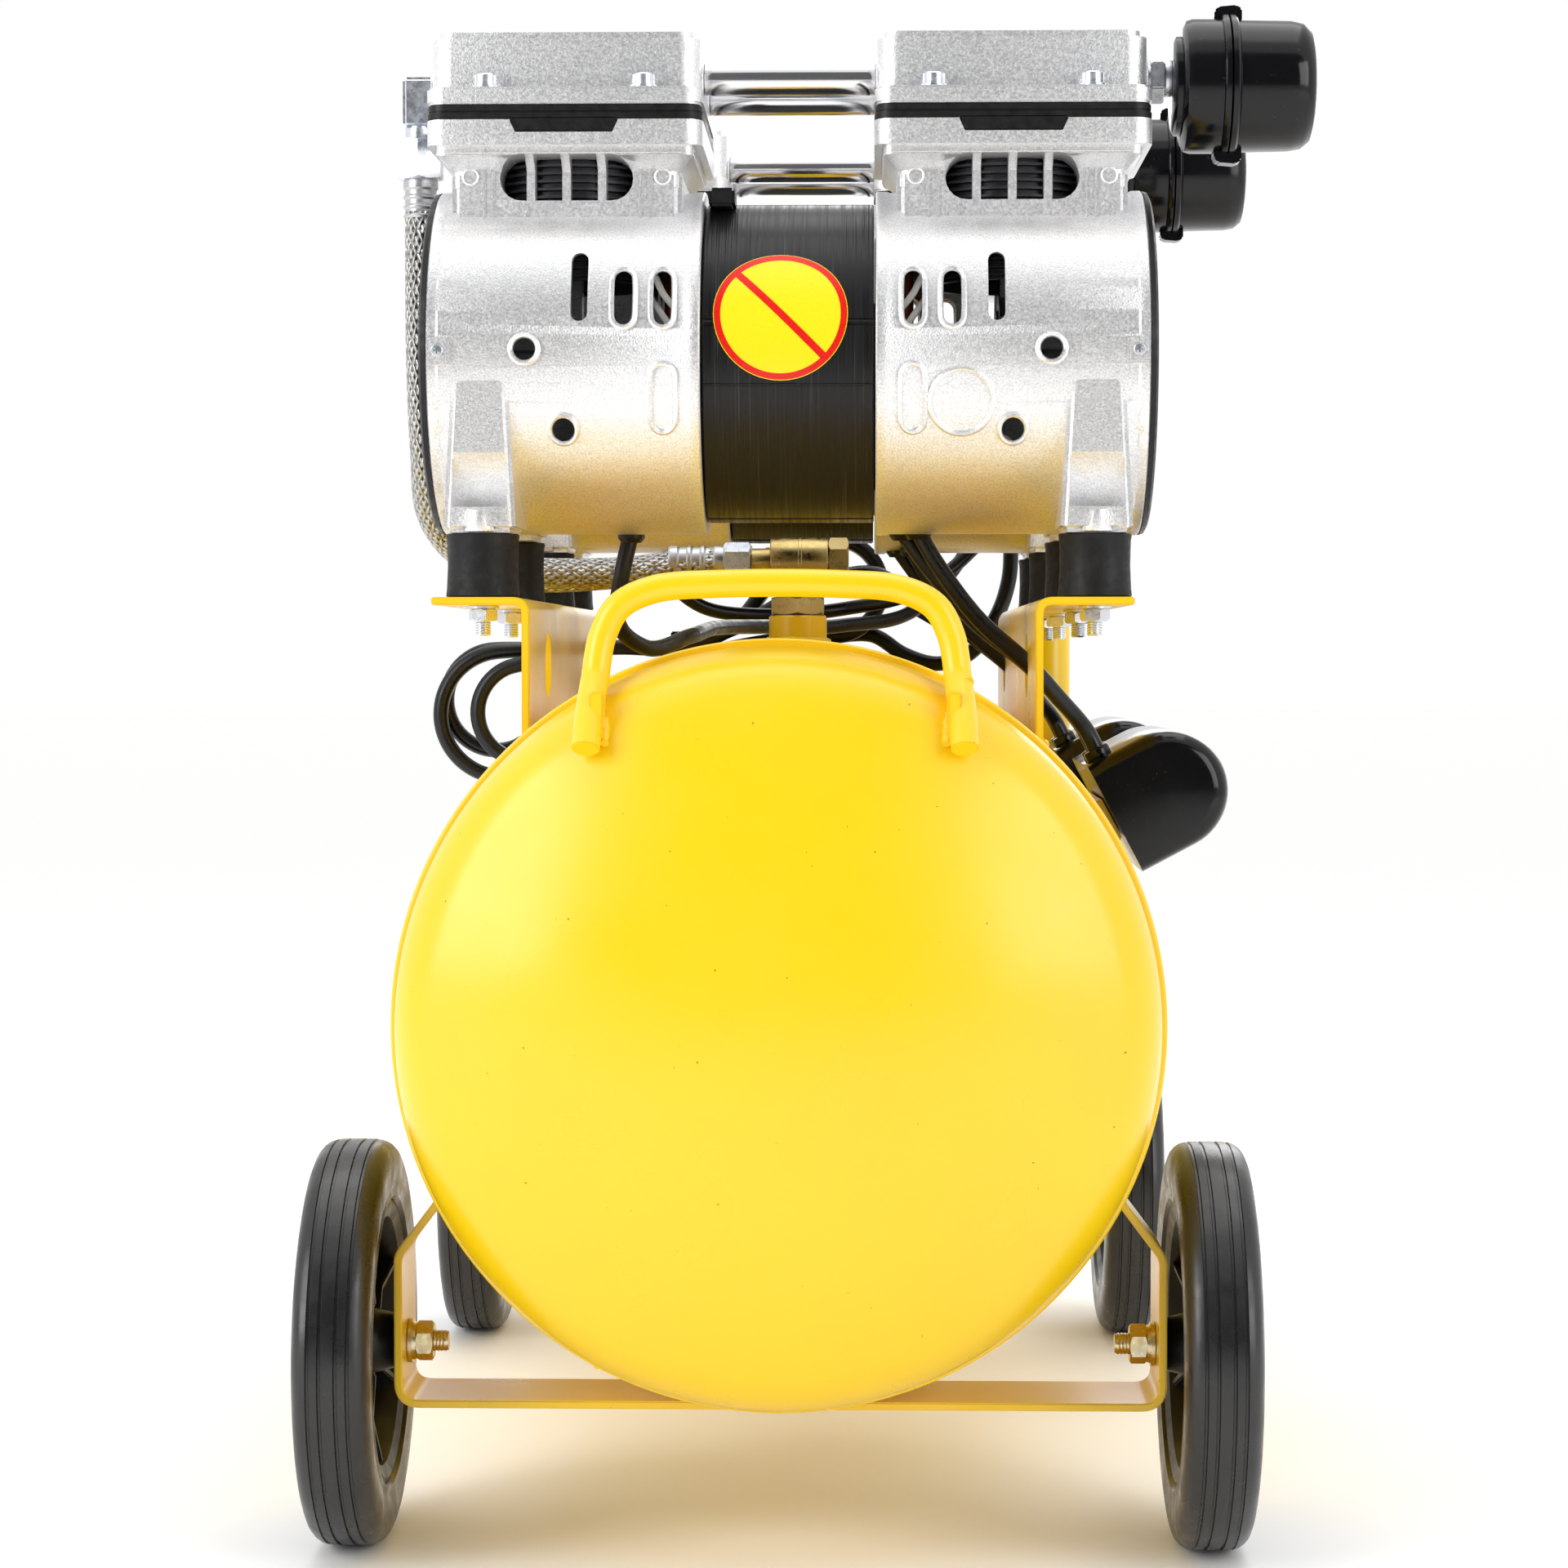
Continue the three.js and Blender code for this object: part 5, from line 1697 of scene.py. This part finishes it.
def place_supply_lead(name):
    """A lead from a left casing's underside along the tank's top to the switch box."""
    route = SUPPLY_ROUTES[name]
    lead = merge(tube(route, LEAD_RADIUS, 20, 3), grommet(route[0]))
    add(f"{name}_supply_lead", lead, JACKET)


for pump_name, pump_middle in PUMPS.items():
    place_hose(pump_name)
    place_box(pump_name)
    place_leads(pump_name, pump_middle)
make_check_valve()
for pump_name in PUMPS:
    place_supply_lead(pump_name)

# ---- pressure controls at the rear
BLOCK_AXIS = {"y": 245, "z": 413}
COUPLER_X, REGULATOR_X = 76, 106
SWITCH_KNOB = (113, 234)


def make_manifold():
    """The brass block on the riser, with the coupler's and the regulator's spigots."""
    y, z = BLOCK_AXIS["y"], BLOCK_AXIS["z"]
    forms = [
        box((62.2, 232.2, 400.4), (133.8, 257.8, 425.8), 1.2),
        cylinder(6.8, 31, Y, (COUPLER_X, 256.5, z), 40, 0.8),
        nut(17, 2.8, 0, Y, (COUPLER_X, 257.9, z)),
        cylinder(6.8, 7.4, Y, (REGULATOR_X, 256.5, z), 40, 0.4),
        nut(12, 14.8, 0, -X, (62.8, y, z)),
        cylinder(7.2, 3.6, Z, (*RISER, 397), 40, 0.4),
    ]
    add("manifold_block", merge(*forms), BRASS, replaces=["outlet_manifold"])


def make_pressure_switch():
    """A base, a tall cover with ribs down its side, and the knob's collar."""
    base = box((92.2, 206.4, 426.5), (133.8, 261.8, 438), 1.5, 3)
    cover = box((93.0, 207.2, 438.4), (133.0, 261.0, 481.6), 4.0, 5)
    collar = turned([(7, 0), (12, 0), (12, 0.2), (10.6, 0.6), (7, 0.6)], Z, (*SWITCH_KNOB, 481.5), 40)
    ribs = [box((133.0, 214 + 6 * i, 446), (133.7, 216.5 + 6 * i, 474), 0.3) for i in range(7)]
    forms = [base, cover, collar, *ribs]
    add("switch_case", merge(*forms), BLACK, replaces=["pressure_switch"])


def make_switch_knob():
    """A red pull knob with a finger groove and a fluted rim."""
    profile = [(0, 482.4), (4.8, 482.4), (4.8, 489.0), (9.0, 489.2), (9.9, 490.2), (9.4, 491.6), (9.9, 493.2),
               (9.6, 494.8), (8.0, 495.8), (3.0, 495.9), (0, 495.5)]
    knob = turned(profile, Z, (*SWITCH_KNOB, 0), 64)
    add_moving("switch_pull", knob, RED, "switch_knob")


def make_regulator_knob():
    """A fluted knob, drawn along +Y."""
    z = BLOCK_AXIS["z"]
    grip = prism(fluted(14.3, 0.6, 18, 144), 20, Y, (REGULATOR_X, 268, z), 0.8)
    skirt = cylinder(13.2, 5, Y, (REGULATOR_X, 264.6, z), 64, 0.6)
    profile = [(0, 287.6), (10.5, 287.6), (11.2, 288.2), (12.8, 289.6), (13.4, 288.6), (13.0, 287), (0, 287)]
    dish = turned(profile, Y, (REGULATOR_X, 0, z), 72)
    add_moving("regulator_grip", merge(grip, skirt, dish), SATIN, "regulator_knob")


def make_coupler_sleeve():
    """A knurled ring with a smooth lip, along +Y."""
    profile = [(7.4, 266.2), (9.6, 266.2), (10.2, 266.8), (10.2, 268.2)]
    for i in range(6):
        start = 268.6 + 1.7 * i
        profile += [(9.6, start), (10.3, start + 0.5), (10.3, start + 1.0), (9.6, start + 1.5)]
    profile += [(10.2, 279.4), (10.4, 280), (10.4, 282), (9.8, 282.8), (7.4, 282.8)]
    sleeve = turned(profile, Y, (COUPLER_X, 0, BLOCK_AXIS["z"]), 72)
    add_moving("coupler_ring", sleeve, ZINC, "coupler_sleeve")


GAUGE = Vector((66, 240.2, 456))


def gauge_case():
    """The plated case with its rim, and the stem with its hexagon."""
    profile = [
        (0, 0), (18.4, 0), (19.6, 1.2), (19.6, 18.5), (19.9, 19), (19.9, 21), (19.2, 21.6), (18.2, 21.6),
        (17.8, 20.8), (17.8, 17), (0, 17),
    ]
    stem = cylinder(4.4, 12, Z, (GAUGE.x, 250, 426.4), 32, 0.3)
    return merge(turned(profile, Y, GAUGE, 96), stem, nut(11, 5.4, 0, Z, (GAUGE.x, 250, 428)))


def dial_angle(share):
    """The angle in radians of a share of the scale, which runs clockwise."""
    return math.radians(225 - 270 * share)


def gauge_marks(face):
    """The ticks, the needle on its boss, and the numbers from 0 to 16."""
    marks = []
    for i in range(41):
        length = 2.6 if i % 5 == 0 else 1.4
        tick = box((14.9 - length, -0.16, 0), (14.9, 0.16, 0.12))
        marks.append(facing(tick, dial_angle(i / 40), face))
    needle = prism([(-3.6, -0.7), (-3.6, 0.7), (12.4, 0.18), (12.4, -0.18)], 0.3, Z, (0, 0, 0.5))
    marks.append(facing(needle, dial_angle(0), face))
    marks.append(cylinder(1.7, 1.4, Y, face + Y * 0.5, 32, 0.3))
    for i in range(0, 9, 2):
        angle = dial_angle(i / 8)
        marks.append(number(str(2 * i), face, 9.6 * math.cos(angle), 9.6 * math.sin(angle)))
    return merge(*marks)


def make_gauge():
    """A plated case, a white dial with its marks, and a clear lens."""
    add("gauge_case", gauge_case(), ZINC, replaces=["pressure_gauge"])
    face = GAUGE + Y * 17.1
    add("gauge_dial", cylinder(17.6, 0.6, Y, face, 72, 0.1), DIAL_WHITE)
    add("gauge_marks", gauge_marks(face), SATIN)
    lens = turned([(0, 19.4), (17.6, 19.4), (17.6, 20.4), (0, 20.8)], Y, GAUGE, 72)
    add("gauge_lens", lens, GLASS)


DIAL_TURN = Matrix(((-1, 0, 0), (0, 0, 1), (0, 1, 0)))


def facing(form, angle, face):
    """Turns a mark on the dial by an angle, and sets it on the dial, seen from +Y."""
    moved(form, turn=Matrix.Rotation(angle, 3, "Z"))
    return moved(form, face + Y * 0.6, DIAL_TURN)


def number(text, face, right, up):
    """A printed number on the dial."""
    curve = bpy.data.curves.new("number", "FONT")
    curve.body = text
    curve.size = 3.6
    curve.align_x = "CENTER"
    curve.align_y = "CENTER"
    curve.extrude = 0.06
    letters = new_object("number", curve)
    graph = bpy.context.evaluated_depsgraph_get()
    form = bmesh.new()
    form.from_mesh(letters.evaluated_get(graph).to_mesh())
    bpy.data.objects.remove(letters)
    bpy.data.curves.remove(curve)
    moved(form, (right, up, 0.06))
    return moved(form, face + Y * 0.6, DIAL_TURN)


def make_safety_valve():
    """The safety valve's pin, with the pull ring at its end."""
    y, z = BLOCK_AXIS["y"], BLOCK_AXIS["z"]
    loop = [(32 + across, y, z + up) for across, up in ring(8.4, 36)]
    pull = tube(loop, 1.35, 14, 1.0, closed=True)
    pin = cylinder(1.9, 7.4, X, (40.2, y, z), 24, 0.4)
    add_moving("safety_pull_ring", merge(pull, pin), ZINC, "safety_ring")


def make_drain_knob():
    """A knurled knob with a cross bar under the drain boss."""
    grip = prism(fluted(5.7, 0.25, 24, 96), 7.8, Z, (0, DRAIN_Y, 31.8), 0.4)
    bar = cylinder(1.9, 23.6, X, (-11.8, DRAIN_Y, 35.5), 24, 0.5)
    add_moving("drain_grip", merge(grip, bar), BRASS, "drain_knob")


make_manifold()
make_pressure_switch()
make_switch_knob()
make_regulator_knob()
make_coupler_sleeve()
make_gauge()
make_safety_valve()
make_drain_knob()

# ---- hidden moving parts keep their CAD shape
for pump_name in PUMPS:
    for node in (f"{pump_name}_rotor", f"{pump_name}_left_piston", f"{pump_name}_right_piston"):
        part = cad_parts[node]
        part.data.materials.clear()
        part.data.materials.append(MACHINED)

# ---- floor and light
def make_floor():
    """A white floor that runs far past the view."""
    form = bmesh.new()
    bmesh.ops.create_grid(form, x_segments=2, y_segments=2, size=20)
    floor = new_object("floor", mesh_of(form, "floor"))
    floor.data.materials.append(plain_color("floor_white", (1.0, 1.0, 0.995), 0.7, 4))


def make_flag():
    """A dark studio wall behind the camera, so that black and bright surfaces keep their contrast."""
    form = bmesh.new()
    bmesh.ops.create_grid(form, x_segments=2, y_segments=2, size=1)
    bmesh.ops.scale(form, vec=(3.6, 2.2, 1), verts=form.verts)
    moved(form, (0, -3.4, 2.3), Matrix.Rotation(math.radians(90), 3, "X"))
    flag = new_object("studio_flag", mesh_of(form, "studio_flag"))
    flag.data.materials.append(plain_color("flag_grey", (0.10, 0.10, 0.10), 0.8, 4))
    flag.visible_camera = False


def area_light(name, place, target, width, height, power):
    """A rectangular softbox that faces a point."""
    data = bpy.data.lights.new(name, "AREA")
    data.shape = "RECTANGLE"
    data.size, data.size_y = width, height
    data.energy = power
    light = bpy.data.objects.new(name, data)
    light.location = place
    light.rotation_euler = (Vector(target) - Vector(place)).to_track_quat("-Z", "Y").to_euler()
    bpy.context.scene.collection.objects.link(light)


def make_light():
    """A white surround and four softboxes."""
    world = bpy.data.worlds.new("studio")
    world.use_nodes = True
    background = world.node_tree.nodes["Background"]
    background.inputs["Color"].default_value = (1, 1, 1, 1)
    background.inputs["Strength"].default_value = 1.0
    bpy.context.scene.world = world
    bpy.context.scene.view_settings.view_transform = "Standard"
    target = (0, 0, 0.32)
    area_light("left_softbox", (-1.7, -1.5, 1.1), target, 1.1, 1.5, 24)
    area_light("right_softbox", (1.6, -1.7, 1.0), target, 1.0, 1.4, 16)
    area_light("top_softbox", (0, 0.2, 2.0), target, 1.6, 1.6, 12)
    area_light("back_softbox", (0.4, 2.2, 1.2), target, 1.6, 1.2, 12)


make_floor()
make_flag()
make_light()
